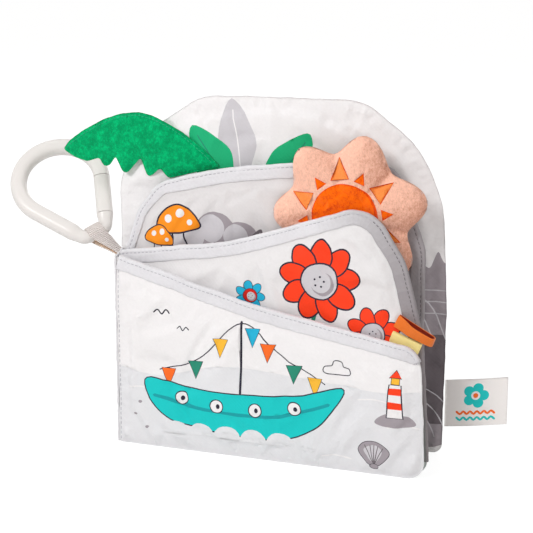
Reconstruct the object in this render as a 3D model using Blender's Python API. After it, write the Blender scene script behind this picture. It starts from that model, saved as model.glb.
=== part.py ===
"""A crinkle cloth book for a baby, standing on its lower edges with its pages fanned out.

Four padded pages hang on a cloth spine. Each page is a pillow: a front and a back panel of printed cloth,
a crinkling film and a pad of wadding between them, and a grey binding over the edge on the three shorter
pages. A plush sun is sewn to the third page and a plush leaf to the back cover, ribbon tabs and a label
stick out at the free edges, and a snap ring hangs from a webbing strap at the top of the spine.

Units are metres. +X runs along the back cover away from the spine, -Y points to the reader and +Z is up.
The origin is the foot of the spine, in the middle of its rear strip, on the surface the book stands on.
"""

import math

import bmesh
import bpy
from mathutils import Matrix, Vector

# Cloth, wadding and the clear space between two pieces that touch on the real book
FIT_GAP = 0.0003
CLOTH = 0.0007
FILM = 0.00025
SEAM_MARGIN = 0.0032
HEM_WALL = 0.0006
HEM_DEPTH = 0.0075

# The four pages: width and height of the cut outline, half thickness of the padded middle, and the angle
# by which each page stands open from the back cover, towards the reader
FRONT_WIDTH, FRONT_HEIGHT, FRONT_CROWN = 0.1893, 0.1145, 0.0040
SECOND_WIDTH, SECOND_HEIGHT, SECOND_CROWN = 0.1902, 0.1525, 0.0040
THIRD_WIDTH, THIRD_HEIGHT, THIRD_CROWN = 0.1832, 0.1720, 0.00325
BACK_WIDTH, BACK_HEIGHT, BACK_CROWN = 0.1970, 0.2070, 0.00325
FRONT_ANGLE, SECOND_ANGLE, THIRD_ANGLE = math.radians(6.5), math.radians(6.0), math.radians(1.5)

# Outlines, anticlockwise from the lower corner at the spine. Each corner is its share of the page's width
# and height, its rounding as a share of the width, and whether the edge that starts there has a hem
FRONT_SHARES = ((0, 0, 0.010, 0), (1, 0, 0.053, 0), (0.978, 0.651, 0.070, 1), (0.449, 0.801, 0.5, 1),
                (0, 1, 0.008, 0))
SECOND_SHARES = ((0, 0, 0.010, 0), (1, 0, 0.037, 1), (0.974, 0.525, 0.3, 1), (0.911, 0.813, 0.2, 1),
                 (0.805, 1, 0.11, 1), (0.384, 0.823, 0.6, 1), (0, 0.754, 0.008, 0))
THIRD_SHARES = ((0, 0, 0.010, 0), (1, 0, 0.037, 1), (0.993, 0.727, 0.16, 1), (0.906, 1, 0.09, 1),
                (0.612, 0.996, 0.8, 1), (0.341, 0.962, 0.6, 1), (0.133, 0.905, 0.10, 1),
                (0.062, 0.808, 0.14, 1), (0.002, 0.605, 0.16, 0))
BACK_SHARES = ((0, 0, 0.010, 0), (0.995, 0, 0.030, 0), (1, 0.434, 1.0, 0), (0.982, 0.724, 0.3, 0),
               (0.904, 0.883, 0.3, 0), (0.741, 1, 0.16, 0), (0.264, 1, 0.18, 0), (0.091, 0.897, 0.2, 0),
               (0, 0.762, 0.18, 0))
CENTRE_SHARE = 0.5
RING_SHARES = (0.13, 0.45)
CROWN_SHARES = (0.62, 0.93, 1.0)
FILLING_START_SHARE = 0.5
ARC_STEP = math.radians(20)
EDGE_STEP = 0.045
LEAST_ROUND = 0.0008

# The spine: three strips of cloth between the folds, and the air between padded pages
SPINE_CLOTH = 0.0015
SPINE_HEIGHT = 0.1135
SPINE_SLANT = math.radians(8.5)
FOLD_PROUD = 0.0002
PAGE_AIR = 0.0008

# The plush sun, sewn to the front of the third page
SUN_RADIUS = 0.046
SUN_X, SUN_Z = 0.1412, 0.1438
SUN_PLUSH = 0.0012
SUN_BACK_DEPTH, SUN_FRONT_DEPTH = 0.0035, 0.0070
SUN_TIP_ANGLES = [math.radians(a) for a in (-134, -88, -40, 13, 77, 128, 181)]
SUN_VALLEY_SHARE = 0.79
SUN_STEPS = 6
SUN_RING_SHARES = (0.2, 0.55)

# The plush leaf, held between the third page and the back cover
LEAF_LENGTH, LEAF_HEIGHT = 0.0970, 0.0402
LEAF_TIP_X, LEAF_LOW_Z = -0.0355, 0.1562
LEAF_PLUSH = 0.0010
LEAF_ROOT_DEPTH = 0.014
LEAF_SHARES = ((0.674, 0.040), (1, 0.249), (0.967, 0.331), (0.924, 0.443), (0.838, 0.600), (0.763, 0.731),
               (0.665, 0.856), (0.578, 0.955), (0.491, 1), (0.380, 0.970), (0.269, 0.881), (0.134, 0.704),
               (0.041, 0.542), (0, 0.410), (0.072, 0.301), (0.155, 0.239), (0.233, 0.306), (0.262, 0.177),
               (0.295, 0.182), (0.339, 0.333), (0.384, 0.100), (0.412, 0.090), (0.499, 0.328),
               (0.540, 0.065), (0.562, 0.055), (0.623, 0.187))

# Ribbon tabs on the second page. A profile is its share of the length along the page and its share of the
# opening towards the reader
RIBBON = 0.0008
ORANGE_LENGTH, ORANGE_WIDTH, ORANGE_OPENING = 0.0240, 0.0060, 0.0062
ORANGE_X, ORANGE_Z, ORANGE_SLOPE = 0.1735, 0.0888, math.radians(-25)
ORANGE_SHARES = ((0, 0), (0.4, 0), (0.86, 0.03), (0.97, 0.2), (1, 0.5), (0.97, 0.8), (0.86, 0.97),
                 (0.45, 1), (0.2, 0.55), (0, 0.25))
YELLOW_LENGTH, YELLOW_WIDTH, YELLOW_OPENING = 0.0175, 0.0068, 0.0028
YELLOW_X, YELLOW_Z, YELLOW_SLOPE = 0.1870, 0.0738, math.radians(158)
YELLOW_SHARES = ((0, 0), (0.35, 0.25), (0.8, 0.4), (0.96, 0.5), (1, 0.7), (0.95, 0.9), (0.8, 1),
                 (0.35, 0.88), (0, 0.5))

# The sewn-in label at the back cover's free edge
LABEL_LENGTH, LABEL_WIDTH, LABEL_CLOTH = 0.0365, 0.0285, 0.0006
LABEL_Z, LABEL_SLOPE, LABEL_BOW = 0.0165, math.radians(7), 0.0012
LABEL_BOW_SHARES = ((0, 0), (0.3, 0.7), (0.6, 1), (1, 0.2))

# The snap ring: a tear-drop of round plastic bar with a flat for the strap and a gate on one side
RING_BAR, FLAT_BAR = 0.0045, 0.0036
RING_RADIUS = 0.0255
RING_REACH = 0.0432
RING_FLAT = 0.0150
RING_CORNER = 0.0050
RING_YAW, RING_LEAN, RING_SPIN = math.radians(14.2), math.radians(42), math.radians(33)
RING_SIDES = 12
RING_ARC_STEPS = 16
GATE_START_SHARE = 0.24
GATE_GAP = 0.0004
GATE_SCARF = math.radians(18)
GATE_STEPS = 3

# The webbing strap, folded round the ring's flat and sewn to the back cover's edge
STRAP_WIDTH, LOOP_WIDTH, STRAP_CLOTH, STRAP_SLACK = 0.0100, 0.0090, 0.0011, 0.0006
STRAP_FOOT_Z = 0.1105
STRAP_RISE, STRAP_OUT, STRAP_BACK = 0.0110, 0.0155, 0.0004
STRAP_NECK = 0.0090
STRAP_LOOP = [math.radians(a) for a in range(60, 301, 24)]
STRAP_TWIST_SHARES = (0, 0.35, 0.7, 1)

WHITE, GREY, GREEN = (0.88, 0.88, 0.89, 1), (0.62, 0.62, 0.65, 1), (0.01, 0.35, 0.13, 1)
PEACH, ORANGE, YELLOW = (0.91, 0.46, 0.30, 1), (0.87, 0.22, 0.02, 1), (0.96, 0.68, 0.21, 1)
PLASTIC, WEBBING, WADDING = (0.85, 0.84, 0.84, 1), (0.55, 0.50, 0.49, 1), (0.80, 0.80, 0.78, 1)
CLEAR = (0.70, 0.72, 0.75, 1)


def clear_scene():
    for item in list(bpy.data.objects):
        bpy.data.objects.remove(item, do_unlink=True)


def material(name, colour, roughness):
    made = bpy.data.materials.get(name)
    if made is None:
        made = bpy.data.materials.new(name)
        made.use_nodes = True
        shader = made.node_tree.nodes["Principled BSDF"]
        shader.inputs["Base Color"].default_value = colour
        shader.inputs["Roughness"].default_value = roughness
    return made


def axis(name, place, parent=None):
    """An empty that stands on a joint's axis. Its own matrix is kept, so children need no update."""
    empty = bpy.data.objects.new(name, None)
    bpy.context.collection.objects.link(empty)
    hang(empty, place, parent)
    return empty


def hang(item, place, parent):
    if parent is not None:
        item.parent = parent
        item.matrix_parent_inverse = world_of(parent).inverted()
    item.matrix_basis = place


def world_of(item):
    """The world matrix of an item whose parent's inverse was set by hang, which is its own basis."""
    return item.matrix_basis


def piece(name, points, faces, look, place, parent=None, smooth=False):
    """One closed solid with its faces pointing out, as an object under its joint's empty."""
    mesh = bpy.data.meshes.new(name)
    mesh.from_pydata([tuple(p) for p in points], [], faces)
    shell = bmesh.new()
    shell.from_mesh(mesh)
    large = [f for f in shell.faces if len(f.verts) > 3]
    bmesh.ops.triangulate(shell, faces=large, quad_method="FIXED", ngon_method="EAR_CLIP")
    bmesh.ops.recalc_face_normals(shell, faces=shell.faces)
    shell.to_mesh(mesh)
    shell.free()
    if smooth:
        mesh.shade_smooth()
        mesh.set_sharp_from_angle(angle=math.radians(40))
    mesh.materials.append(look)
    item = bpy.data.objects.new(name, mesh)
    bpy.context.collection.objects.link(item)
    hang(item, place, parent)
    return item


def lerp(a, b, share):
    return a + (b - a) * share


def left_of(way):
    return Vector((-way.y, way.x))


def page_outline(shares, width, height, seam_inset=0, hem_inset=0):
    """The outline's points with each corner turned as an arc, and which points are on the hem.

    An inset outline has as many points as the page's own. Its hemmed edges and its others each move
    inwards by their own distance."""
    corners = [Vector((x * width, z * height)) for x, z, _, _ in shares]
    count = len(corners)
    sides = [corners[(i + 1) % count] - corners[i] for i in range(count)]
    ways = [side.normalized() for side in sides]
    insets = [lerp(seam_inset, hem_inset, share[3]) for share in shares]
    arcs, reaches = [], []
    for i, corner in enumerate(corners):
        turn = -ways[i - 1].angle_signed(ways[i])
        half = math.tan(abs(turn) / 2)
        radius = min(shares[i][2] * width, min(sides[i - 1].length, sides[i].length) * CENTRE_SHARE / half)
        reaches.append(radius * half)
        hand = math.copysign(1, turn)
        inner = max(radius - hand * (insets[i - 1] + insets[i]) / 2, LEAST_ROUND)
        moved = corner + (ways[i] * insets[i - 1] - ways[i - 1] * insets[i]) / math.sin(turn)
        start = moved - ways[i - 1] * inner * half
        centre = start + left_of(ways[i - 1]) * inner * hand
        steps = max(1, math.ceil(abs(turn) / ARC_STEP))
        arcs.append([centre + Matrix.Rotation(turn * k / steps, 2) @ (start - centre)
                     for k in range(steps + 1)])
    points, hemmed = [], []
    for i, arc in enumerate(arcs):
        points += arc
        before, after = shares[i - 1][3], shares[i][3]
        hemmed += [before] + [before * after] * (len(arc) - 2) + [after]
        j = (i + 1) % count
        extra = math.floor((sides[i].length - reaches[i] - reaches[j]) / EDGE_STEP)
        points += [arc[-1].lerp(arcs[j][0], k / (extra + 1)) for k in range(1, extra + 1)]
        hemmed += [after] * extra
    return points, hemmed


def beside(run, distance):
    """An open run of points moved to its left by a distance."""
    moved = []
    for i, point in enumerate(run):
        into = point - run[i - 1] if i else run[1] - point
        onto = run[i + 1] - point if i < len(run) - 1 else into
        side = (left_of(into.normalized()) + left_of(onto.normalized())).normalized()
        moved.append(point + side * distance / side.dot(left_of(into.normalized())))
    return moved


def shrink(points, centre, share):
    return [point.lerp(centre, share) for point in points]


def lens(name, rings, centre, fronts, backs, look, place, parent, smooth=True):
    """A closed cushion between two height profiles, one height for each ring and one for the centre."""
    count, points, faces = len(rings[0]), [], []
    for heights in (fronts, backs):
        for ring, height in zip(rings, heights):
            points += [Vector((p.x, height, p.y)) for p in ring]
        points.append(Vector((centre.x, heights[-1], centre.y)))
    sheet = len(rings) * count + 1
    for first in (0, sheet):
        for r in range(len(rings) - 1):
            for i in range(count):
                a, b = first + r * count + i, first + r * count + (i + 1) % count
                faces += [(a, b, b + count), (a, b + count, a + count)]
        inner = first + (len(rings) - 1) * count
        faces += [(inner + i, inner + (i + 1) % count, first + sheet - 1) for i in range(count)]
    for i in range(count):
        j = (i + 1) % count
        faces += [(i, j, sheet + j), (i, sheet + j, sheet + i)]
    return piece(name, points, faces, look, place, parent, smooth)


def page(name, width, height, crown, shares, place, parent):
    """The pillow of one page: two panels, the film and the wadding, and the outline for its hem."""
    outline, hemmed = page_outline(shares, width, height)
    centre = Vector((width, height)) * CENTRE_SHARE
    flat, _ = page_outline(shares, width, height, SEAM_MARGIN, HEM_DEPTH + HEM_WALL + FIT_GAP)
    rings = [outline, flat] + [shrink(flat, centre, share) for share in RING_SHARES]
    edge = CLOTH + FIT_GAP / 2
    outer = [edge, edge] + [lerp(edge, crown, share) for share in CROWN_SHARES]
    inner = [height_out - CLOTH for height_out in outer]
    cloth = material("printed_cloth", WHITE, 0.75)
    lens(name + "_front_panel", rings, centre, [-h for h in outer], [-h for h in inner], cloth, place, parent)
    lens(name + "_back_panel", rings, centre, inner, outer, cloth, place, parent)
    fill_rings = [[a.lerp(b, FILLING_START_SHARE) for a, b in zip(rings[1], rings[2])]] + rings[2:]
    room = [lerp(inner[1], inner[2], FILLING_START_SHARE) - FIT_GAP] + [h - FIT_GAP for h in inner[2:]]
    film_back = [-(h - FILM) for h in room]
    lens(name + "_crinkle_film", fill_rings, centre, [-h for h in room], film_back,
         material("crinkle_film", CLEAR, 0.25), place, parent)
    lens(name + "_wadding", fill_rings, centre, [h + FIT_GAP for h in film_back], room,
         material("wadding", WADDING, 0.95), place, parent)
    return outline, hemmed


def sweep(name, sections, look, place, parent, smooth=False):
    """A closed bar through sections that all have the same number of points."""
    count, points, faces = len(sections[0]), [p for s in sections for p in s], []
    for r in range(len(sections) - 1):
        for i in range(count):
            a, b = r * count + i, r * count + (i + 1) % count
            faces += [(a, b, b + count), (a, b + count, a + count)]
    last = (len(sections) - 1) * count
    faces += [tuple(range(count)), tuple(range(last, last + count))]
    return piece(name, points, faces, look, place, parent, smooth)


def hem(name, outline, hemmed, place, parent):
    """The binding folded over the hemmed edge: a channel with a leg on each face of the page."""
    run = [point for point, share in zip(outline, hemmed) if share]
    inner_half = CLOTH + FIT_GAP / 2 + FIT_GAP
    outer_half = inner_half + HEM_WALL
    channel = ((-FIT_GAP - HEM_WALL, -outer_half), (-FIT_GAP - HEM_WALL, outer_half), (HEM_DEPTH, outer_half),
               (HEM_DEPTH, inner_half), (-FIT_GAP, inner_half), (-FIT_GAP, -inner_half),
               (HEM_DEPTH, -inner_half), (HEM_DEPTH, -outer_half))
    lines = [beside(run, into) for into, _ in channel]
    sections = [[Vector((line[i].x, across, line[i].y)) for line, (_, across) in zip(lines, channel)]
                for i in range(len(run))]
    sweep(name, sections, material("grey_binding", GREY, 0.8), place, parent)


def band(name, path, widths, thickness, look, place, parent):
    """A ribbon through the path's points. Each point has its own width vector."""
    sections = []
    for i, (point, wide) in enumerate(zip(path, widths)):
        before, after = path[max(i - 1, 0)], path[min(i + 1, len(path) - 1)]
        across = (after - before).cross(wide).normalized() * thickness / 2
        sections.append([point - wide / 2 - across, point + wide / 2 - across,
                         point + wide / 2 + across, point - wide / 2 + across])
    return sweep(name, sections, look, place, parent)


def slab(name, outline, front, back, look, place, parent):
    """A flat piece cut to an outline, between two depths."""
    count = len(outline)
    points = [Vector((p.x, y, p.y)) for y in (front, back) for p in outline]
    faces = [tuple(range(count)), tuple(range(count, 2 * count))]
    faces += [(i, (i + 1) % count, count + (i + 1) % count, count + i) for i in range(count)]
    return piece(name, points, faces, look, place, parent)


def fold_places():
    """Where the four pages fold on the spine's outer face, with the rear strip's middle at the origin."""
    hem_half = CLOTH + FIT_GAP * 3 / 2 + HEM_WALL
    leaf_room = hem_half + leaf_depth() + FIT_GAP * 4 + math.sin(THIRD_ANGLE) * LEAF_LENGTH * CENTRE_SHARE
    pitches = (FRONT_CROWN + SECOND_CROWN + PAGE_AIR, SECOND_CROWN + THIRD_CROWN + PAGE_AIR,
               max(THIRD_CROWN + PAGE_AIR, leaf_room) + BACK_CROWN)
    along, inward = Vector((-math.sin(SPINE_SLANT), math.cos(SPINE_SLANT), 0)), spine_inward()
    middle = sum(pitches) - pitches[2] / 2
    start = -inward * (SPINE_CLOTH / 2 + FOLD_PROUD) - along * middle
    reached, places = 0, [start]
    for pitch in pitches:
        reached += pitch
        places.append(start + along * reached)
    return places


def spine_inward():
    return Vector((math.cos(SPINE_SLANT), math.sin(SPINE_SLANT), 0))


def spine_strip(name, start, end, parent):
    """The cloth between two folds, a little inside the line of the folds so that it can close flat."""
    along = (end - start).normalized()
    outer, inner = spine_inward() * FOLD_PROUD, spine_inward() * (FOLD_PROUD + SPINE_CLOTH)
    near, far = start + along * FIT_GAP, end - along * FIT_GAP
    foot = [near + outer, near + inner, far + inner, far + outer]
    sections = [foot, [p + Vector((0, 0, SPINE_HEIGHT)) for p in foot]]
    sweep(name, sections, material("spine_cloth", WHITE, 0.75), Matrix.Identity(4), parent)


def sun(place, parent):
    """The stuffed sun: a soft star with seven points, a plush panel on each side and stuffing between."""
    outline = []
    for i, tip in enumerate(SUN_TIP_ANGLES):
        step = (SUN_TIP_ANGLES[(i + 1) % len(SUN_TIP_ANGLES)] - tip) % math.tau
        for k in range(SUN_STEPS):
            swell = (1 + math.cos(math.tau * k / SUN_STEPS)) / 2
            radius = SUN_RADIUS * lerp(SUN_VALLEY_SHARE, 1, swell)
            turn = tip + step * k / SUN_STEPS
            outline.append(Vector((radius * math.cos(turn), radius * math.sin(turn))))
    centre = Vector((0, 0))
    rings = [outline] + [shrink(outline, centre, share) for share in SUN_RING_SHARES]
    edge = SUN_PLUSH + FIT_GAP / 2
    shares = (0,) + CROWN_SHARES
    front = [lerp(edge, SUN_FRONT_DEPTH, share) for share in shares]
    back = [lerp(edge, SUN_BACK_DEPTH, share) for share in shares]
    plush = material("peach_plush", PEACH, 0.9)
    seat = place @ Matrix.Translation((SUN_X, -(THIRD_CROWN + FIT_GAP + SUN_BACK_DEPTH), SUN_Z))
    lens("sun_front_plush", rings, centre, [-h for h in front], [SUN_PLUSH - h for h in front],
         plush, seat, parent)
    lens("sun_back_plush", rings, centre, [h - SUN_PLUSH for h in back], back, plush, seat, parent)
    inside = [shrink(outline, centre, SUN_RING_SHARES[0] / 2)] + rings[1:]
    shy = SUN_PLUSH + FIT_GAP
    front_room = [lerp(front[0], front[1], CENTRE_SHARE) - shy] + [h - shy for h in front[1:]]
    back_room = [lerp(back[0], back[1], CENTRE_SHARE) - shy] + [h - shy for h in back[1:]]
    lens("sun_stuffing", inside, centre, [-h for h in front_room], back_room,
         material("wadding", WADDING, 0.95), seat, parent)


def leaf_depth():
    return LEAF_PLUSH * 2 + FIT_GAP


def leaf(back_y):
    """The leaf's two plush panels, which flap about the line where the third page's edge holds them."""
    corner = Vector((LEAF_TIP_X, 0, LEAF_LOW_Z))
    outline = [Vector((x * LEAF_LENGTH, z * LEAF_HEIGHT)) for x, z in LEAF_SHARES]
    low, high = outline[0], outline[1]
    down = Vector(((high - low).y, -(high - low).x)).normalized()
    plush = material("green_plush", GREEN, 0.9)
    depth = leaf_depth()
    seat = Matrix.Translation(corner + Vector((0, back_y - BACK_CROWN - FIT_GAP - depth / 2, 0)))
    clear = depth / 2 + FIT_GAP
    root = [p + down * away for p, away in
            ((low, LEAF_ROOT_DEPTH), (high, LEAF_ROOT_DEPTH), (high, clear), (low, clear))]
    slab("leaf_root", root, -depth / 2, depth / 2, plush, seat, None)
    line = axis("leaf_line", seat @ Matrix.Translation((low.x, 0, low.y)))
    slab("leaf_front_plush", outline, -depth / 2, -FIT_GAP / 2, plush, seat, line)
    slab("leaf_back_plush", outline, FIT_GAP / 2, depth / 2, plush, seat, line)


def tab(name, colour, x, z, slope, length, width, opening, shares, seat_depth, place, parent):
    """A ribbon loop whose two layers start together at the stitches and part towards its fold."""
    along = Vector((math.cos(slope), 0, math.sin(slope)))
    up = Vector((-math.sin(slope), 0, math.cos(slope))) * math.copysign(width, math.cos(slope))
    start = Vector((x, -seat_depth, z))
    path = [start + along * (length * s) - Vector((0, opening * out, 0)) for s, out in shares]
    band(name, path, [up] * len(path), RIBBON, material(name, colour, 0.5), place, parent)


def label(edge_x, back_y):
    """The folded satin label, which swings about the seam at the back cover's free edge."""
    place = Matrix.Translation((edge_x + FIT_GAP, back_y, LABEL_Z))
    seam = axis("label_seam", place)
    up, rise = Vector((0, 0, LABEL_WIDTH)), math.tan(LABEL_SLOPE)
    path = [Vector((LABEL_LENGTH * s, -LABEL_BOW * bow, LABEL_WIDTH / 2 + LABEL_LENGTH * s * rise))
            for s, bow in LABEL_BOW_SHARES]
    band("label_tag", path, [up] * len(path), LABEL_CLOTH, material("satin", WHITE, 0.4), place, seam)


def ring_side():
    """The straight side of the tear-drop: where its line starts at the flat, its direction and length."""
    corner, centre = Vector((RING_FLAT / 2, 0)), Vector((0, RING_REACH))
    spoke = centre - corner
    aim = math.atan2(spoke.y, spoke.x) - math.asin(RING_RADIUS / spoke.length)
    return corner, Vector((math.cos(aim), math.sin(aim))), math.sqrt(spoke.length ** 2 - RING_RADIUS ** 2)


def ring_path():
    """The ring's centre line, outward directions and bar radii, from the gate's foot round to its tip."""
    corner, along, length = ring_side()
    out = Vector((along.y, -along.x))
    low = math.atan2(out.y, out.x)
    turn = math.pi / 2 + low
    pivot = Vector((corner.x - math.tan(turn / 2) * RING_CORNER, RING_CORNER))
    steps = math.ceil(turn / ARC_STEP)
    path = [(corner + along * length * GATE_START_SHARE, out, RING_BAR)]
    for k in range(steps + 1):
        spoke = Vector((math.cos(low - turn * k / steps), math.sin(low - turn * k / steps)))
        path.append((pivot + spoke * RING_CORNER, spoke, FLAT_BAR))
    path += [(Vector((-p.x, p.y)), Vector((-o.x, o.y)), bar) for p, o, bar in reversed(path)]
    for k in range(RING_ARC_STEPS + 1):
        a = math.pi - low - (math.pi - 2 * low) * k / RING_ARC_STEPS
        spoke = Vector((math.cos(a), math.sin(a)))
        path.append((Vector((0, RING_REACH)) + spoke * RING_RADIUS, spoke, RING_BAR))
    return path


def bar_section(point, out, bar, along, scarf):
    """A circle across the bar. With a scarf its plane leans along the bar towards the outer side."""
    lean = out + along * math.tan(scarf)
    section = []
    for k in range(RING_SIDES):
        a = math.tau * (k + CENTRE_SHARE) / RING_SIDES
        flat = point + lean * bar * math.cos(a)
        section.append(Vector((flat.x, flat.y, bar * math.sin(a))))
    return section


def ring(strap_axis, tip):
    """The ring and its gate, turned about the flat that the strap holds."""
    place = (Matrix.Translation(tip) @ Matrix.Rotation(RING_YAW, 4, "Z")
             @ Matrix.Rotation(math.pi / 2 - RING_LEAN, 4, "X") @ Matrix.Rotation(RING_SPIN, 4, "Z"))
    flip = axis("ring_flat", place, strap_axis)
    plastic = material("ring_plastic", PLASTIC, 0.35)
    corner, along, length = ring_side()
    out = Vector((along.y, -along.x))
    path = ring_path()
    foot, top = length * GATE_START_SHARE, length
    sections = [bar_section(p, o, bar, along, 0) for p, o, bar in path[:-1]]
    sections.append(bar_section(corner + along * (top + GATE_GAP), out, RING_BAR, along, -GATE_SCARF))
    sweep("ring_body", sections, plastic, place, flip, smooth=True)
    hinge = corner + along * foot - out * RING_BAR
    pin = axis("gate_root", place @ Matrix.Translation((hinge.x, hinge.y, 0)), flip)
    gate = [bar_section(corner + along * lerp(foot + GATE_GAP, top, k / GATE_STEPS), out, RING_BAR, along,
                        -GATE_SCARF if k == GATE_STEPS else 0) for k in range(GATE_STEPS + 1)]
    sweep("ring_gate", gate, plastic, place, pin, smooth=True)
    return place


def strap(foot, tip, loop_width):
    """The webbing, doubled from its stitches up to the ring and folded round the ring's flat."""
    swing = axis("strap_stitches", Matrix.Translation(foot))
    away = foot - tip
    first = (away - loop_width * away.dot(loop_width)).normalized()
    second = loop_width.cross(first)
    layer = STRAP_CLOTH / 2 + FIT_GAP / 2
    radius = FLAT_BAR + STRAP_SLACK + STRAP_CLOTH / 2
    foot_wide = Vector((0, 1, 0))
    foot_across = foot_wide.cross(away).normalized()
    neck = tip + first * STRAP_NECK
    stations = []
    for share in STRAP_TWIST_SHARES:
        wide = foot_wide.lerp(loop_width, share).normalized() * lerp(STRAP_WIDTH, LOOP_WIDTH, share)
        stations.append((foot.lerp(neck, share), foot_across.lerp(second, share).normalized(), wide))
    path = [p + across * layer for p, across, _ in stations]
    path += [tip + (first * math.cos(a) + second * math.sin(a)) * radius for a in STRAP_LOOP]
    path += [p - across * layer for p, across, _ in reversed(stations)]
    wide = [w for _, _, w in stations]
    widths = wide + [loop_width * LOOP_WIDTH] * len(STRAP_LOOP) + wide[::-1]
    band("ring_strap", path, widths, STRAP_CLOTH,
         material("webbing", WEBBING, 0.85), Matrix.Identity(4), swing)
    return swing


def ring_and_strap(back_fold, back_y):
    foot = Vector((back_fold.x - STRAP_CLOTH - FIT_GAP / 2, back_y, STRAP_FOOT_Z))
    tip = foot + Vector((-STRAP_OUT, STRAP_BACK, STRAP_RISE))
    turn = Matrix.Rotation(RING_YAW, 3, "Z") @ Matrix.Rotation(math.pi / 2 - RING_LEAN, 3, "X")
    loop_width = turn @ Vector((math.cos(RING_SPIN), math.sin(RING_SPIN), 0))
    swing = strap(foot, tip, loop_width)
    ring(swing, tip)


def build():
    clear_scene()
    front_fold, second_fold, third_fold, back_fold = fold_places()
    start = FOLD_PROUD + SPINE_CLOTH + FIT_GAP
    turn = [Matrix.Translation(fold) @ Matrix.Rotation(-angle, 4, "Z") for fold, angle in
            ((third_fold, THIRD_ANGLE), (second_fold, SECOND_ANGLE), (front_fold, FRONT_ANGLE))]
    third_axis = axis("third_page_fold", turn[0])
    second_axis = axis("second_page_fold", turn[1], third_axis)
    front_axis = axis("front_page_fold", turn[2], second_axis)
    inset_page = Matrix.Translation((start, 0, 0))
    third_place, second_place, front_place = [m @ inset_page for m in turn]

    front = page("front_page", FRONT_WIDTH, FRONT_HEIGHT, FRONT_CROWN, FRONT_SHARES, front_place, front_axis)
    hem("front_page_hem", *front, front_place, front_axis)
    second = page("second_page", SECOND_WIDTH, SECOND_HEIGHT, SECOND_CROWN, SECOND_SHARES,
                  second_place, second_axis)
    hem("second_page_hem", *second, second_place, second_axis)
    third = page("third_page", THIRD_WIDTH, THIRD_HEIGHT, THIRD_CROWN, THIRD_SHARES, third_place, third_axis)
    hem("third_page_hem", *third, third_place, third_axis)
    back_place = Matrix.Translation(back_fold + Vector((FIT_GAP, 0, 0)))
    page("back_cover", BACK_WIDTH, BACK_HEIGHT, BACK_CROWN, BACK_SHARES, back_place, None)

    spine_strip("spine_front_strip", front_fold, second_fold, second_axis)
    spine_strip("spine_middle_strip", second_fold, third_fold, third_axis)
    page_edge = Vector((0, CLOTH + FIT_GAP, 0))
    spine_strip("spine_rear_strip", third_fold, back_fold - page_edge, None)

    sun(turn[0], third_axis)
    seat_depth = CLOTH + FIT_GAP * 3 / 2 + HEM_WALL + FIT_GAP + RIBBON / 2
    tab("orange_tab", ORANGE, ORANGE_X, ORANGE_Z, ORANGE_SLOPE, ORANGE_LENGTH, ORANGE_WIDTH, ORANGE_OPENING,
        ORANGE_SHARES, seat_depth, turn[1], second_axis)
    tab("yellow_tab", YELLOW, YELLOW_X, YELLOW_Z, YELLOW_SLOPE, YELLOW_LENGTH, YELLOW_WIDTH, YELLOW_OPENING,
        YELLOW_SHARES, seat_depth, turn[1], second_axis)
    leaf(back_fold.y)
    label(back_fold.x + FIT_GAP + BACK_WIDTH * BACK_SHARES[2][0], back_fold.y)
    ring_and_strap(back_fold, back_fold.y)


build()
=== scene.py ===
# %% [markdown]
# # A crinkle cloth book
#
# A baby's book of four padded cloth pages, dressed here over its CAD model. Each page is a cushion of printed
# cloth with a grey binding over its edge. A plush sun and a plush leaf, two ribbon tabs, a satin label and a
# plastic snap ring on a webbing strap are fixed to it. The CAD model gives every place and every size, and
# this script gives each piece its fine surface and its finish.

# %% Load the frame
import math

import bmesh
import bpy
import numpy as np
from mathutils import Matrix, Vector, noise
from mathutils.bvhtree import BVHTree
from mathutils.geometry import delaunay_2d_cdt


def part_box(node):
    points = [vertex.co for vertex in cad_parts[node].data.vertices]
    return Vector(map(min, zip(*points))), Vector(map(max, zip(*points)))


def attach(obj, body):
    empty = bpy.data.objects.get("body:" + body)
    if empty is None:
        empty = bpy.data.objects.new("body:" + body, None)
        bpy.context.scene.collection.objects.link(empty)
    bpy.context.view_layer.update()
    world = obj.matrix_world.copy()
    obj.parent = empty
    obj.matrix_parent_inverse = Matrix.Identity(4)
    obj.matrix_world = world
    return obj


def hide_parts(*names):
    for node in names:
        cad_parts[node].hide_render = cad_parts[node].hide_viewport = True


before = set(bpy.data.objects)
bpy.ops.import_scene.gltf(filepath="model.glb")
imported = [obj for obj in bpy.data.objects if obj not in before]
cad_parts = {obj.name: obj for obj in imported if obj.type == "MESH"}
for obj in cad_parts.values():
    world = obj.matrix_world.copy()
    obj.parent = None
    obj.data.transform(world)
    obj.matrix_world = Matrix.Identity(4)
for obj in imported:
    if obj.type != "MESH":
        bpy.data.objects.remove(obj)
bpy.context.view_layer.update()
MM = 0.001

# %% [markdown]
# ## Camera
#
# The photograph was taken from a little to the right of the book and from a little above it, with a long
# lens. The camera is placed and aimed in code, because the part's frame is known exactly.

# %% Place the camera
CAMERA_PLACE, CAMERA_AIM, LENS, SENSOR = (0.3141, -0.8877, 0.3192), (-0.2390, 0.9446, -0.2250), 108.1, 36


def new_object(name, data):
    made = bpy.data.objects.new(name, data)
    bpy.context.collection.objects.link(made)
    return made


def sizes(piece):
    return [round(d * 1000, 1) for d in piece.dimensions]


def look_along(item, way):
    item.rotation_euler = way.to_track_quat("-Z", "Y").to_euler()


camera_data = bpy.data.cameras.new("camera")
camera_data.sensor_width, camera_data.lens = SENSOR, LENS
camera = new_object("camera", camera_data)
camera.location = CAMERA_PLACE
look_along(camera, Vector(CAMERA_AIM))
bpy.context.scene.camera = camera
print("camera", tuple(round(c, 3) for c in camera.location))

# %% [markdown]
# ## Inks
#
# The pages are printed in flat colours with dark outlines. Each colour is written as the eye sees it, from 0
# to 255, and turned into the linear values that Blender's shaders work in.

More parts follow.
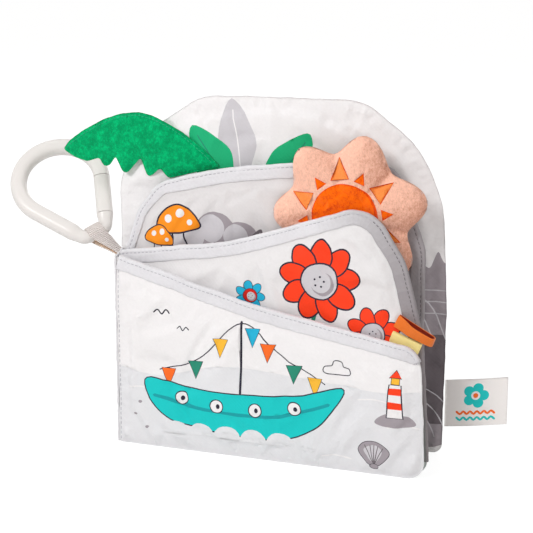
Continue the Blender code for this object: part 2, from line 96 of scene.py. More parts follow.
# %% Name the inks
def linear(*seen):
    steps = [c / 255 for c in seen]
    return tuple(s / 12.92 if s < 0.04045 else ((s + 0.055) / 1.055) ** 2.4 for s in steps) + (1.0,)


# A few inks are painted shade, not a colour of the cloth: the binding's dark grey, the thread on it and the orange
# ribbon's inside.
INKS = {name: linear(*seen) for name, seen in {
    "white": (238, 236, 237), "mist": (226, 226, 229), "pale_grey": (204, 201, 206), "mid_grey": (160, 152, 158),
    "dark_grey": (108, 100, 105), "outline": (34, 30, 48), "teal": (0, 200, 198), "deep_teal": (0, 158, 164),
    "orange": (250, 108, 26), "amber": (250, 146, 12), "yellow": (246, 186, 52), "blue": (24, 176, 214),
    "green": (32, 136, 110), "leaf_green": (12, 176, 118), "pale_green": (120, 206, 170), "red": (252, 60, 10),
    "deep_red": (214, 28, 10), "peach": (242, 188, 165), "sun_orange": (255, 108, 2), "sun_deep": (236, 80, 4),
    "sun_ray": (246, 142, 70), "satin": (246, 242, 240), "green_pile": (2, 178, 110), "band_grey": (226, 225, 229),
    "soft_white": (229, 227, 228), "dim_white": (221, 218, 219), "band_painted_shade": (142, 135, 138),
    "ribbon": (238, 120, 34), "ribbon_inside_shade": (158, 38, 8), "ribbon_yellow": (255, 236, 158),
    "webbing": (231, 222, 218), "webbing_inside": (246, 222, 200), "thread": (180, 178, 186),
    "painted_shade_thread": (104, 98, 102), "leaf_thread": (40, 176, 134)}.items()}
# The binding's inks, in steps from its own light grey to a painted shade of darker grey.
BAND_STEPS = 24
for k in range(BAND_STEPS + 1):
    INKS[f"band_{k}"] = tuple(a + (b - a) * k / BAND_STEPS for a, b in zip(INKS["band_grey"], INKS["band_painted_shade"]))
print("inks:", ", ".join(sorted(INKS)))

# %% [markdown]
# ## Shapes for the print
#
# A printed picture is a stack of flat shapes, the top one covering those below. Each helper here gives the
# outline of one kind of shape in millimetres on the page: a disc, a smooth blob through a few points, and a
# line of ink with a width. A picture is then a list of ink names with outlines.

# %% Define the printed shapes
def pairs(items):
    """Each item with the one after it, and the last with the first."""
    return list(zip(items, items[1:] + items[:1]))


def ramp(value, start, reach):
    """Nought up to the start, one beyond the reach, and an even rise between them."""
    return min(max((value - start) / reach, 0), 1)


def tube_faces(rings, size):
    """The sides of a tube whose points are listed ring by ring."""
    rows = [pairs(list(range(i * size, (i + 1) * size))) for i in range(rings - 1)]
    return [(a, b, b + size, a + size) for row in rows for a, b in row]


def turned(shape, x, z, size=1.0, turn=0):
    """The shape at another size, turned by so many degrees, and moved to its place."""
    c, s = math.cos(math.radians(turn)) * size, math.sin(math.radians(turn)) * size
    return [(x + a * c - b * s, z + a * s + b * c) for a, b in shape]


def disc(x, z, rx, rz=None, turn=0, count=26):
    rz = rx if rz is None else rz
    around = [math.tau * k / count for k in range(count)]
    return turned([(rx * math.cos(a), rz * math.sin(a)) for a in around], x, z, 1.0, turn)


def smooth(points, closed=True, steps=6):
    """A Catmull-Rom curve through the points."""
    points = [Vector(p) for p in points]
    count, made = len(points), []
    for i in range(count if closed else count - 1):
        p0 = points[(i - 1) % count] if closed or i else points[0]
        p1, p2 = points[i], points[(i + 1) % count]
        p3 = points[(i + 2) % count] if closed or i < count - 2 else p2
        for k in range(steps):
            t = k / steps
            made.append(p1 + (p2 - p0) * (t / 2) + (2 * p0 - 5 * p1 + 4 * p2 - p3) * (t * t / 2)
                        + (3 * p1 - p0 - 3 * p2 + p3) * (t * t * t / 2))
    if not closed:
        made.append(points[-1])
    return made


def blob(points, steps=6):
    return [tuple(p) for p in smooth(points, True, steps)]


def stroke(points, width, steps=6):
    """A line of ink with round ends."""
    line = smooth(points, False, steps)
    left, right = [], []
    for i, p in enumerate(line):
        way = (line[min(i + 1, len(line) - 1)] - line[max(i - 1, 0)]).normalized()
        side = Vector((-way.y, way.x)) * width / 2
        left.append(tuple(p + side))
        right.append(tuple(p - side))
    tip = line[-1] + (line[-1] - line[-2]).normalized() * width / 2
    tail = line[0] + (line[0] - line[1]).normalized() * width / 2
    return right + [tuple(tip)] + left[::-1] + [tuple(tail)]


def grown(shape, by):
    """The shape with its edge moved outwards, for the dark outline under it."""
    points = [Vector(p) for p in shape]
    area = sum(a.x * b.y - b.x * a.y for a, b in pairs(points))
    made = []
    for i, p in enumerate(points):
        way = (points[(i + 1) % len(points)] - points[i - 1]).normalized()
        made.append(tuple(p + Vector((way.y, -way.x)) * math.copysign(by, area)))
    return made


def inked(ink, shape, line=0.9):
    return [("outline", grown(shape, line)), (ink, shape)]


def dots(ink, *places, count=26):
    return [(ink, disc(*place, count=count)) for place in places]


def patch(ink, *points):
    return [(ink, blob(points))]


def moved(picture, *place):
    return [(ink, turned(shape, *place)) for ink, shape in picture]


# %% [markdown]
# ## Motifs
#
# The prints are plain nursery motifs: a boat with bunting, a lighthouse, flowers, mushrooms, leaves, shells and
# clouds. Each is drawn once round its own foot or middle, and then placed on the pages at the size needed.

# %% Draw the motifs
def flower(petals, ink, heart):
    made = []
    for k in range(petals):
        a = math.tau * k / petals
        made += inked(ink, disc(13.5 * math.cos(a), 13.5 * math.sin(a), 8.2, 5.4, math.degrees(a)))
    made += inked(heart, disc(0, 0, 9.4)) + dots("mid_grey", (1.5, -1.5, 6.2)) + dots("pale_grey", (0.6, -0.4, 5.6))
    seeds = [(2.7 * math.cos(k * 1.26), 2.7 * math.sin(k * 1.26), 0.6) for k in range(5)]
    return made + dots("outline", *seeds, count=8)


def mushroom(ink):
    made = inked("pale_grey", blob([(-3.4, 0), (3.4, 0), (2.6, 8), (2.9, 15), (-2.9, 15), (-2.6, 8)]))
    made += inked(ink, blob([(-12, 13), (-9, 20), (0, 25), (9, 20), (12, 13), (6, 11.2), (0, 10.6), (-6, 11.2)]))
    return made + dots("white", (-5, 18, 2.1), (2, 20.5, 2.4), count=14) + dots("white", (7, 15.4, 1.6), count=12)


def shell():
    made = inked("mid_grey", blob([(0, -1), (-9, 5), (-15, 14), (-9, 21), (0, 23), (9, 21), (15, 14), (9, 5)]), 0.6)
    made += patch("pale_grey", (0, 3), (-6, 8), (-10, 14), (-6, 18), (0, 20), (6, 18), (8, 14), (5, 8))
    for x in (-9, -4, 0, 4, 9):
        made += [("dark_grey", stroke([(0, 1), (x * 0.55, 11), (x, 20 - abs(x) * 0.16)], 0.8))]
    return made + inked("mid_grey", disc(0, -1, 4, 2.4), 0.5)


def bush():
    made = dots("mid_grey", (-12, 6, 8), (-2, 10, 10), (10, 7, 9), (18, 3, 6))
    made += dots("pale_grey", (-13, 7, 5.4), (-4, 12, 6.6), (8, 9, 5.8))
    return made + dots("dark_grey", (-2, 5, 0.9), (4, 2, 0.9), (13, 4, 0.9), (-9, 2, 0.9), (16, 1, 0.9), count=10)


def wall(wide, low, narrow, high):
    return [(-wide, low), (wide, low), (narrow, high), (-narrow, high)]


def lighthouse():
    made = patch("mid_grey", (-12, 0), (-8, 5), (0, 6.4), (8, 5), (12, 0), (0, -2))
    made += inked("white", wall(4.6, 4, 3.2, 24), 0.7)
    made += [("red", wall(4.3, 9, 4.0, 13.4)), ("red", wall(3.7, 18, 3.4, 22))]
    made += inked("yellow", wall(2.4, 24.6, 2.4, 28), 0.6)
    return made + inked("red", [(-3.6, 28.4), (3.6, 28.4), (0, 32.4)], 0.6)


def gull():
    return [("outline", stroke([(-5.4, 1.6), (-2.8, 3.6), (0, 0.6), (2.8, 3.6), (5.4, 1.6)], 0.9))]


def cloud():
    return inked("white", blob([(-8, 0), (-9, 4), (-4, 5), (-2.4, 8.4), (2.4, 8), (4, 4.8), (8.6, 4), (8, 0)]), 0.7)


def leaf_shape(ink, vein, length=30, width=9):
    made = patch(ink, (0, 0), (width * 0.8, length * 0.28), (width, length * 0.55), (0, length),
                 (-width * 0.9, length * 0.6), (-width * 0.8, length * 0.25))
    return made + [(vein, stroke([(0, length * 0.08), (0.4, length * 0.5), (0, length * 0.86)], 0.7))]


def boat():
    line = [(-52, 36), (-24, 46), (4, 71), (30, 54), (60, 38)]
    made = [("outline", stroke([(4, 26), (4, 72)], 1.5, 1)), ("outline", stroke(line, 0.7, 10))]
    rope = smooth(line, False, 10)
    for k, i in enumerate((3, 9, 15, 23, 27, 33, 37)):
        x, z = rope[i]
        flag = [(x - 4.6, z - 0.6), (x, z - 12), (x + 4.6, z - 0.6)]
        made += inked(("orange", "green", "yellow", "blue")[k % 4], flag, 0.6)
    hull = [(-60, 30), (-56, 14), (-40, 3), (-10, -1), (28, -1), (52, 8), (66, 24), (70, 36), (40, 28), (0, 25),
            (-34, 26)]
    made += inked("teal", blob(hull), 0.8)
    made += [("deep_teal", stroke([(-55, 19), (-20, 13), (25, 13), (62, 25)], 2.2))]
    for x, z in ((-36, 19), (-12, 16), (14, 16), (40, 20)):
        made += inked("white", disc(x, z, 4.0), 0.7) + dots("outline", (x + 0.8, z, 1.3, 1.6), count=12)
    return made


def waves(x, z, count, size, ink):
    crests = [(x + size * 2 * (k + 0.5), z - size * 0.2, size * 1.06, size) for k in range(count)]
    return dots(ink, *crests, count=20)


def moon_lines(x, z, radius, ink, count=3):
    return [(ink, stroke([(x + (radius + 7 * k) * math.cos(a), z + (radius + 7 * k) * math.sin(a))
                          for a in (0.2, 0.7, 1.2, 1.7)], 0.7)) for k in range(count)]


print("motifs drawn")

# %% [markdown]
# ## Pictures
#
# Each page has a picture on both of its sides. The front page shows the boat on pale water, the second a
# flower bed, the third mushrooms, and the back cover leaves over a grey rock.

# %% Compose the pictures
def front_picture():
    made = patch("mist", (-8, 44), (30, 46), (70, 55), (120, 53), (160, 50), (200, 46), (200, -10), (-8, -10))
    for x, z in ((8, 36), (150, 44), (24, 8), (128, 8), (168, 30)):
        made += [("white", stroke([(x, z), (x + 9, z + 1.6), (x + 18, z)], 0.9))]
    made += moved(lighthouse(), 172, 32, 0.95) + moved(shell(), 160, 6, 0.62)
    made += moved(boat(), 76, 16, 0.92)
    made += waves(30, 12.5, 6, 8.2, "mist") + [("mist", [(24, -8), (126, -8), (126, 11), (24, 11)])]
    made += moved(gull(), 30, 82, 0.9) + moved(gull(), 44, 74, 0.7) + moved(cloud(), 138, 58, 0.8)
    return made + [("mid_grey", disc(x, z, 1.5, 0.9, 20, 10)) for x, z in ((12, 20), (20, 13), (16, 28))]


def meadow_picture(width, height, ink, seed):
    made = patch(ink, (-10, 28), (30, 36), (80, 30), (130, 40), (210, 30), (210, -10), (-10, -10))
    for k in range(9):
        x = 14 + (width - 30) * ((k * 0.37 + seed * 0.23) % 1)
        z = 12 + 22 * ((k * 0.61 + seed * 0.31) % 1)
        made += moved(leaf_shape("green", "pale_green", 14, 4), x, z, 1.0, 30 * math.sin(k + seed))
    return made + moved(cloud(), width * 0.25, height * 0.62, 1.1) + moved(cloud(), width * 0.6, height * 0.5, 0.9)


def second_picture():
    made = patch("mist", (-10, 30), (40, 44), (90, 38), (150, 50), (210, 42), (210, -10), (-10, -10))
    for x, z, bend in ((124, 92, 6), (158, 78, -4), (86, 78, 4), (46, 66, 3)):
        made += [("green", stroke([(x + bend, 20), (x - bend, z * 0.6), (x, z)], 2.2))]
    for petals, ink, heart, *place in ((9, "red", "pale_grey", 126, 108, 1.08, 8),
                                       (8, "red", "pale_grey", 158, 80, 0.72, 20),
                                       (7, "blue", "deep_red", 84, 96, 0.42), (7, "amber", "white", 46, 72, 0.5)):
        made += moved(flower(petals, ink, heart), *place)
    for x, z, turn in ((116, 58, 50), (146, 48, -50), (82, 50, 60), (54, 38, -60)):
        made += moved(leaf_shape("leaf_green", "green", 24, 7), x, z, 0.8, turn)
    return made


def third_picture():
    made = patch("mist", (-10, 60), (40, 76), (100, 70), (200, 80), (200, -10), (-10, -10))
    made += patch("mid_grey", (140, 60), (152, 110), (164, 132), (176, 146), (200, 150), (200, 60))
    made += moved(bush(), 62, 116, 1.25) + moved(mushroom("amber"), 38, 116, 1.1, 6)
    made += moved(mushroom("amber"), 23, 112, 0.76, -8)
    made += moved(leaf_shape("dark_grey", "mid_grey", 16, 4), 80, 116, 1.1, -24)
    for ink, *place in (("amber", 40, 40, 1.6), ("red", 90, 30, 2.0), ("amber", 132, 44, 1.5)):
        made += moved(mushroom(ink), *place)
    return made + moved(bush(), 110, 18, 1.2)


def back_cover_picture():
    made = moved(leaf_shape("pale_grey", "white", 46, 11), 76, 158, 1.05, 8)
    for length, width, *place in ((46, 12, 90, 152, 0.95, -38), (50, 13, 104, 150, 0.95, -62),
                                  (46, 12, 69, 150, 1.0, 30)):
        made += moved(leaf_shape("leaf_green", "green", length, width), *place)
    made += patch("mid_grey", (-10, 84), (50, 98), (110, 92), (150, 106), (172, 112), (181, 116), (187, 112),
                  (191, 121), (196, 114), (210, 112), (210, 9), (-10, 9))
    made += patch("dark_grey", (60, 44), (110, 58), (160, 64), (182, 72), (210, 66), (210, 24), (188, 18), (150, 22),
                  (100, 20))
    for x, z, r in ((150, 60, 34), (168, 6, 24), (120, 20, 40), (60, 40, 30), (186, 40, 46)):
        made += moon_lines(x, z, r, "pale_grey")
    return made


def outer_picture():
    made = patch("pale_green", (-10, 50), (60, 66), (120, 56), (210, 72), (210, -10), (-10, -10))
    made += moved(flower(9, "red", "pale_grey"), 60, 104, 1.3) + moved(flower(8, "blue", "yellow"), 140, 90, 1.1)
    made += dots("sun_orange", (150, 160, 15))
    made += patch("teal", (20, 20), (50, 36), (110, 30), (170, 38), (190, 20), (120, 8), (50, 8))
    return made + moved(cloud(), 60, 164, 1.6) + moved(cloud(), 110, 140, 1.2)


PICTURES = {"front_page": (front_picture(), meadow_picture(190, 112, "pale_green", 1)),
            "second_page": (second_picture(), meadow_picture(190, 140, "mist", 2)),
            "third_page": (third_picture(), meadow_picture(183, 160, "pale_green", 3)),
            "back_cover": (back_cover_picture(), outer_picture())}
print("shapes in each picture:", {name: (len(a), len(b)) for name, (a, b) in PICTURES.items()})

# %% [markdown]
# ## Where the pages are
#
# Every page is a cut outline on its own fold of the spine. The corners are in millimetres: how far along the
# page, how high, the radius it is rounded to, and 1 where the edge that starts there has a binding.

# %% State the pages' folds and outlines
FOLDS = {"front_page": (2.27, -21.64, 6.5, 2.0), "second_page": (0.97, -12.93, 6.0, 2.0),
         "third_page": (-0.22, -4.97, 1.5, 2.0), "back_cover": (-1.65, 4.69, 0.0, 0.3)}
CROWNS = {"front_page": 4.0, "second_page": 4.0, "third_page": 3.25, "back_cover": 3.25}
CORNERS = {
    "front_page": [(0, 0, 1.9, 0), (189.3, 0, 10, 0), (185.1, 74.5, 13.3, 1), (85, 91.7, 94.7, 1),
                   (0, 114.5, 1.5, 0)],
    "second_page": [(0, 0, 1.9, 0), (190.2, 0, 7, 1), (185.3, 80.1, 57, 1), (173.3, 124, 38, 1),
                    (153.1, 152.5, 20.9, 1), (73, 125.5, 114, 1), (0, 115, 1.5, 0)],
    "third_page": [(0, 0, 1.8, 0), (183.2, 0, 6.8, 1), (181.9, 125, 29.3, 1), (166, 172, 16.5, 1),
                   (112.1, 171.3, 146.6, 1), (62.5, 165.5, 109.9, 1), (24.4, 155.7, 18.3, 1),
                   (11.4, 139, 25.6, 1), (0.4, 104.1, 29.3, 0)],
    "back_cover": [(0, 0, 2, 0), (196, 0, 5.9, 0), (197, 89.8, 197, 0), (193.5, 149.9, 59.1, 0),
                   (178.1, 182.8, 59.1, 0), (146, 207, 31.5, 0), (52, 207, 35.5, 0), (17.9, 185.7, 39.4, 0),
                   (0, 157.7, 35.5, 0)]}


def page_place(name, with_start=True):
    x, y, angle, start = FOLDS[name]
    place = Matrix.Translation((x * MM, y * MM, 0)) @ Matrix.Rotation(-math.radians(angle), 4, "Z")
    return place @ Matrix.Translation((start * MM, 0, 0)) if with_start else place


def left_of(way):
    return Vector((-way.y, way.x))


def page_outline(corners, step=1.25):
    """The outline as closely spaced points, and for each point whether it is on the binding."""
    at = [Vector(c[:2]) for c in corners]
    count = len(at)
    sides = [at[(i + 1) % count] - at[i] for i in range(count)]
    arcs = []
    for i in range(count):
        into, onto = sides[i - 1].normalized(), sides[i].normalized()
        turn = -into.angle_signed(onto)
        half = math.tan(abs(turn) / 2)
        radius = min(corners[i][2], min(sides[i - 1].length, sides[i].length) / 2 / half)
        start = at[i] - into * radius * half
        centre = start + left_of(into) * math.copysign(radius, turn)
        steps = max(3, math.ceil(radius * abs(turn) / step))
        arcs.append([centre + Matrix.Rotation(turn * k / steps, 2) @ (start - centre) for k in range(steps + 1)])
    points, bound = [], []
    for i, arc in enumerate(arcs):
        before, after = corners[i - 1][3], corners[i][3]
        points += arc
        bound += [before] + [before * after] * (len(arc) - 2) + [after]
        gap = arcs[(i + 1) % count][0] - arc[-1]
        extra = max(0, math.floor(gap.length / step) - 1)
        points += [arc[-1] + gap * k / (extra + 1) for k in range(1, extra + 1)]
        bound += [after] * extra
        if gap.length < 0.05:
            points.pop()
            bound.pop()
    return points, bound


OUTLINES = {name: page_outline(corners) for name, corners in CORNERS.items()}
print("points round each page:", {name: len(points) for name, (points, _) in OUTLINES.items()})

# %% [markdown]
# ## Printed cloth as a mesh
#
# A print with crisp edges can be cut into the mesh itself: the outline of the page and of every printed shape
# go into one triangulation, and each triangle takes the ink of the topmost shape over it. The cloth's own
# detail then comes from the points between, which are raised into a cushion afterwards.

# %% Triangulate a printed sheet
def inside(points, polygon):
    """Which points lie within the polygon, by counting the sides crossed to their right."""
    hit = np.zeros(len(points), bool)
    px, pz = points[:, 0], points[:, 1]
    for (x1, z1), (x2, z2) in pairs(polygon):
        if z1 != z2:
            cross = x1 + (pz - z1) * (x2 - x1) / (z2 - z1)
            hit ^= ((z1 > pz) != (z2 > pz)) & (px < cross)
    return hit


def near_edge(points, outline):
    """For each point: the distance to every stretch of the outline, as one row."""
    a = np.array([tuple(p) for p in outline])
    b = np.roll(a, -1, axis=0)
    side = b - a
    along = ((points[:, None, :] - a) * side).sum(2) / np.maximum((side ** 2).sum(1), 1e-12)
    nearest = a + side * np.clip(along, 0, 1)[:, :, None]
    return np.linalg.norm(points[:, None, :] - nearest, axis=2)


def inward(outline):
    return [left_of((after - outline[i - 1]).normalized()) for i, (_, after) in enumerate(pairs(outline))]


RING_DEPTHS, RING_CLEARANCE = (1.2, 2.5, 4.0, 5.6), 0.86


def cloth_sheet(outline, picture, ground, spacing, fine=False):
    """Points, triangles and the ink of each triangle. A fine sheet has rows of points along its seams."""
    ring = [tuple(p) for p in outline]
    low, high = np.min(ring, axis=0), np.max(ring, axis=0)
    rings, clear = np.zeros((0, 2)), spacing * 0.55
    if fine:
        rings = np.array([tuple(p + side * depth) for depth in RING_DEPTHS
                          for p, side in zip(outline, inward(outline))])
        least = np.repeat(RING_DEPTHS, len(outline)) * RING_CLEARANCE
        rings = rings[near_edge(rings, outline).min(axis=1) > least]
        clear = RING_DEPTHS[-1] + spacing * 0.5
    rows = np.arange(low[1], high[1], spacing * 0.87)
    grid = np.array([(x + spacing / 2 * (k % 2), z) for k, z in enumerate(rows)
                     for x in np.arange(low[0], high[0], spacing)])
    grid = np.concatenate([rings] + [part[near_edge(part, outline).min(axis=1) > clear]
                                     for part in np.array_split(grid[inside(grid, ring)], 8)])
    coords, edges = [], []
    for shape in [ring] + [shape for _, shape in picture]:
        edges += pairs(list(range(len(coords), len(coords) + len(shape))))
        coords += [Vector(p) for p in shape]
    coords += [Vector(p) for p in grid]
    points, _, triangles, *_ = delaunay_2d_cdt(coords, edges, [], 0, 1e-4)
    points, triangles = np.array([tuple(p) for p in points]), np.array([list(t) for t in triangles])
    triangles = triangles[inside(points[triangles].mean(axis=1), ring)]
    middles = points[triangles].mean(axis=1)
    inks = np.full(len(triangles), ground, dtype=object)
    for ink, shape in picture:
        inks[inside(middles, [tuple(p) for p in shape])] = ink
    used, triangles = np.unique(triangles, return_inverse=True)
    return points[used], triangles.reshape(-1, 3).tolist(), inks.tolist()


def rim_loop(points, triangles):
    """The sheet's outer edge, anticlockwise, starting from its lowest point at the left."""
    seen = {pair for t in triangles for pair in pairs(t)}
    step = {a: b for a, b in seen if (b, a) not in seen}
    loop = [min(step, key=lambda i: points[i][0] + points[i][1] * 0.5)]
    while step[loop[-1]] != loop[0]:
        loop.append(step[loop[-1]])
    return loop


def zip_rims(loop_a, share_a, loop_b, share_b):
    """Triangles between two edges that run the same way, matched by their share of the way round."""
    made, i, j = [], 0, 0
    while i < len(loop_a) or j < len(loop_b):
        next_a = share_a[i + 1] if i + 1 < len(loop_a) else 1.0 if i < len(loop_a) else 2.0
        next_b = share_b[j + 1] if j + 1 < len(loop_b) else 1.0 if j < len(loop_b) else 2.0
        a, b = loop_a[i % len(loop_a)], loop_b[j % len(loop_b)]
        if next_a <= next_b:
            i += 1
            made.append((a, b, loop_a[i % len(loop_a)]))
        else:
            j += 1
            made.append((a, b, loop_b[j % len(loop_b)]))
    return made


def shares_along(points, loop):
    way = np.array([points[i] for i in loop])
    run = np.concatenate([[0], np.cumsum(np.linalg.norm(np.diff(way, axis=0), axis=1))])
    whole = run[-1] + np.linalg.norm(way[0] - way[-1])
    return list(run / whole)


# %% [markdown]
# ## Creases from a cloth simulation
#
# Real creases come from cloth that is a little too large for what it covers. Each page is therefore sewn once
# as a coarse cushion, its cloth is let grow by a few hundredths, and Blender's cloth solver blows it up with
# its seams held. The result is read as a map of how far the surface lies above or below a smooth cushion,
# which is later added to the printed page.

# %% Blow up a coarse cushion
def read_map(tree, low, high, step, hand):
    """The height of the first surface met from one side, on a square grid."""
    xs, zs = np.arange(low[0], high[0], step), np.arange(low[1], high[1], step)
    found = np.zeros((len(zs), len(xs)))
    for j, z in enumerate(zs):
        for i, x in enumerate(xs):
            hit = tree.ray_cast(Vector((x, hand * 60, z)), Vector((0, -hand, 0)))[0]
            found[j, i] = abs(hit.y) if hit else np.nan
    return found


def detail_of(found, reach):
    """What is left of a map when its slow rise is taken out."""
    known = ~np.isnan(found)
    value, weight = np.where(known, found, 0), known.astype(float)
    for axis in (0, 1, 0, 1, 0, 1):
        value, weight = (sum(np.roll(each, k, axis) for k in range(-reach, reach + 1)) for each in (value, weight))
    return np.where(known, found - value / np.maximum(weight, 1e-9), 0)


def new_mesh(name, coords, faces):
    mesh = bpy.data.meshes.new(name)
    mesh.from_pydata([tuple(c) for c in coords], [], faces)
    mesh.shade_smooth()
    return new_object(name, mesh)


def mended(piece, sharp=None):
    """Turns every face of a closed mesh outwards, and marks the edges that bend by more than so many degrees."""
    shell = bmesh.new()
    shell.from_mesh(piece.data)
    bmesh.ops.recalc_face_normals(shell, faces=shell.faces)
    shell.to_mesh(piece.data)
    shell.free()
    if sharp:
        piece.data.set_sharp_from_angle(angle=math.radians(sharp))
    return piece


def inflated(piece, frames, quality, mass, bending, stiffness, pressure, seams="", grow=0.0):
    """The piece's points and faces after the cloth solver has blown it up for so many frames."""
    solver = piece.modifiers.new("cloth", "CLOTH")
    rules = solver.settings
    rules.quality, rules.mass, rules.bending_stiffness = quality, mass, bending
    rules.tension_stiffness = rules.compression_stiffness = rules.shear_stiffness = stiffness
    rules.use_pressure, rules.uniform_pressure_force, rules.effector_weights.gravity = True, pressure, 0
    rules.shrink_min, rules.vertex_group_mass = -grow, seams
    solver.collision_settings.use_collision = False
    for number in range(1, frames + 1):
        bpy.context.scene.frame_set(number)
    shape = piece.evaluated_get(bpy.context.evaluated_depsgraph_get()).to_mesh()
    places, faces = [v.co.copy() for v in shape.vertices], [tuple(p.vertices) for p in shape.polygons]
    piece.modifiers.remove(solver)
    bpy.context.scene.frame_set(1)
    return places, faces


MAP_STEP, COARSE_SPACING, CREASE_REACH = 1.6, 3.1, 5


def blown_creases(name, outline, margins, grow):
    points, triangles, _ = cloth_sheet(outline, [], "white", COARSE_SPACING)
    rim, count = rim_loop(points, triangles), len(points)
    depth = np.maximum((near_edge(points, outline) - np.array(margins)).min(axis=1), 0)
    lift = 0.8 + 2.2 * (1 - np.exp(-depth / 9))
    lift[rim] = 0.4
    coords = [(x * MM, hand * h * MM, z * MM) for hand in (-1, 1) for (x, z), h in zip(points, lift)]
    faces = triangles + [[count + i for i in t[::-1]] for t in triangles]
    made = mended(new_mesh(name + "_coarse", coords, faces + [(a, count + a, count + b, b) for a, b in pairs(rim)]))
    held = made.vertex_groups.new(name="seams")
    held.add([i + k for i in np.flatnonzero(depth <= 0).tolist() for k in (0, count)], 1.0, "REPLACE")
    blown, faces = inflated(made, 18, quality=5, mass=0.12, bending=0.05, stiffness=12, pressure=1.6,
                            seams="seams", grow=grow)
    tree = BVHTree.FromPolygons([p * 1000 for p in blown], faces)
    low, high = points.min(axis=0), points.max(axis=0)
    maps = [detail_of(read_map(tree, low, high, MAP_STEP, hand), CREASE_REACH) for hand in (-1, 1)]
    bpy.data.objects.remove(made)
    print(name, "creases up to", round(float(max(abs(m).max() for m in maps)), 2), "mm, mostly within",
          round(float(np.percentile(abs(maps[0]), 90)), 2))
    return [(low, MAP_STEP, m) for m in maps]


def sample(crease, points):
    low, step, grid = crease
    place = (points - low) / step
    whole = np.clip(np.floor(place).astype(int), 0, [grid.shape[1] - 2, grid.shape[0] - 2])
    part = np.clip(place - whole, 0, 1)
    i, j, u, v = whole[:, 0], whole[:, 1], part[:, 0], part[:, 1]
    return ((grid[j, i] * (1 - u) + grid[j, i + 1] * u) * (1 - v)
            + (grid[j + 1, i] * (1 - u) + grid[j + 1, i + 1] * u) * v)


# %% [markdown]
# ## Padding the cloth
#
# Wadding lifts the cloth from the flat seam allowance in a quick rise that levels off. The stitching gathers
# the cloth a little, so small puckers start at the seam and fade. Cut edges are never quite true, so every
# point of a page is also shifted by a fraction of a millimetre, the same for the cloth and its binding.

# %% Raise a sheet into a cushion
def untrue(x, z, seed):
    """The page point moved a little, as hand work leaves it."""
    a = noise.noise((x * 0.05, z * 0.05, seed)) * 0.55 + noise.noise((x * 0.16, z * 0.16, seed + 2)) * 0.3
    b = noise.noise((x * 0.05, z * 0.05, seed + 40)) * 0.55 + noise.noise((x * 0.16, z * 0.16, seed + 42)) * 0.3
    return x + a, max(z + b * min(1, z / 12), 0)


def widest(grid):
    """The map with each value raised to the highest beside it."""
    return np.max([np.roll(grid, (j, i), (0, 1)) for j in (-1, 0, 1) for i in (-1, 0, 1)], axis=0)


def filling_maps(nodes, place, outline):
    """How far the pieces inside a page reach forwards and backwards, so that the cloth can lie over them."""
    low, high = np.min([tuple(p) for p in outline], axis=0), np.max([tuple(p) for p in outline], axis=0)
    maps = []
    for hand in (-1, 1):
        highest = 0
        for name in nodes:
            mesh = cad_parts[name].data
            tree = BVHTree.FromPolygons([place.inverted() @ v.co * 1000 for v in mesh.vertices],
                                        [tuple(p.vertices) for p in mesh.polygons])
            highest = np.maximum(highest, widest(np.nan_to_num(read_map(tree, low, high, MAP_STEP, hand))))
        maps.append((low, MAP_STEP, highest))
    return maps


def cushion_height(points, outline, margins, edge, crown, rise, pucker, wave, seed, crease=None, line=None,
                   filling=None, plump=False):
    """The height of the cloth over the middle plane, in millimetres."""
    count = len(outline)
    run = np.concatenate([[0], np.cumsum([(outline[(i + 1) % count] - outline[i]).length for i in range(count)])])
    blown = sample(crease, points) * 1.45 if crease else np.zeros(len(points))
    bare = [0 < margin < 3.5 for margin in margins]
    gathers, rises = [2.0 if b else 1.0 for b in bare], np.array([rise * 0.6 if b else rise for b in bare])
    heights = []
    for part, extra in zip(np.array_split(points, 12), np.array_split(blown, 12)):
        gap = near_edge(part, outline) - np.array(margins)
        nearest = gap.argmin(axis=1)
        depth = np.maximum(gap.min(axis=1), 0)
        if line:
            depth = np.where(part[:, 0] > line[2], np.minimum(depth, np.maximum(line[0] + line[1] * part[:, 0]
                                                                                - part[:, 1], 0)), depth)
        swell = np.sqrt(1 - (1 - np.minimum(depth / rise, 1)) ** 2) if plump else 1 - np.exp(-depth / rises[nearest])
        body = edge + (crown - edge) * swell
        for (x, z), s, i, h, e in zip(part, depth, nearest, body, extra):
            t = run[i]
            fold = noise.noise((t * 0.16, s * 0.03, seed)) + 0.6 * noise.noise((t * 0.37, s * 0.05, seed + 7))
            slow = noise.noise((x * 0.024, z * 0.024, seed + 3)) + 0.5 * noise.noise((x * 0.06, z * 0.05, seed + 5))
            fine = noise.noise((t * 0.62, s * 0.1, seed + 11)) * math.exp(-s / 3.5) * (1 - math.exp(-s / 0.8))
            lift = (pucker * gathers[i] * (fold * math.exp(-s / 15) * (1 - math.exp(-s / 1.5)) + 0.9 * fine)
                    + wave * slow * (1 - math.exp(-s / 12)) + max(min(e, 1.1), -1.0) * (1 - math.exp(-s / 2.5)))
            heights.append(h + lift)
    return np.maximum(heights, sample(filling, points) + 0.3) if filling else np.array(heights)


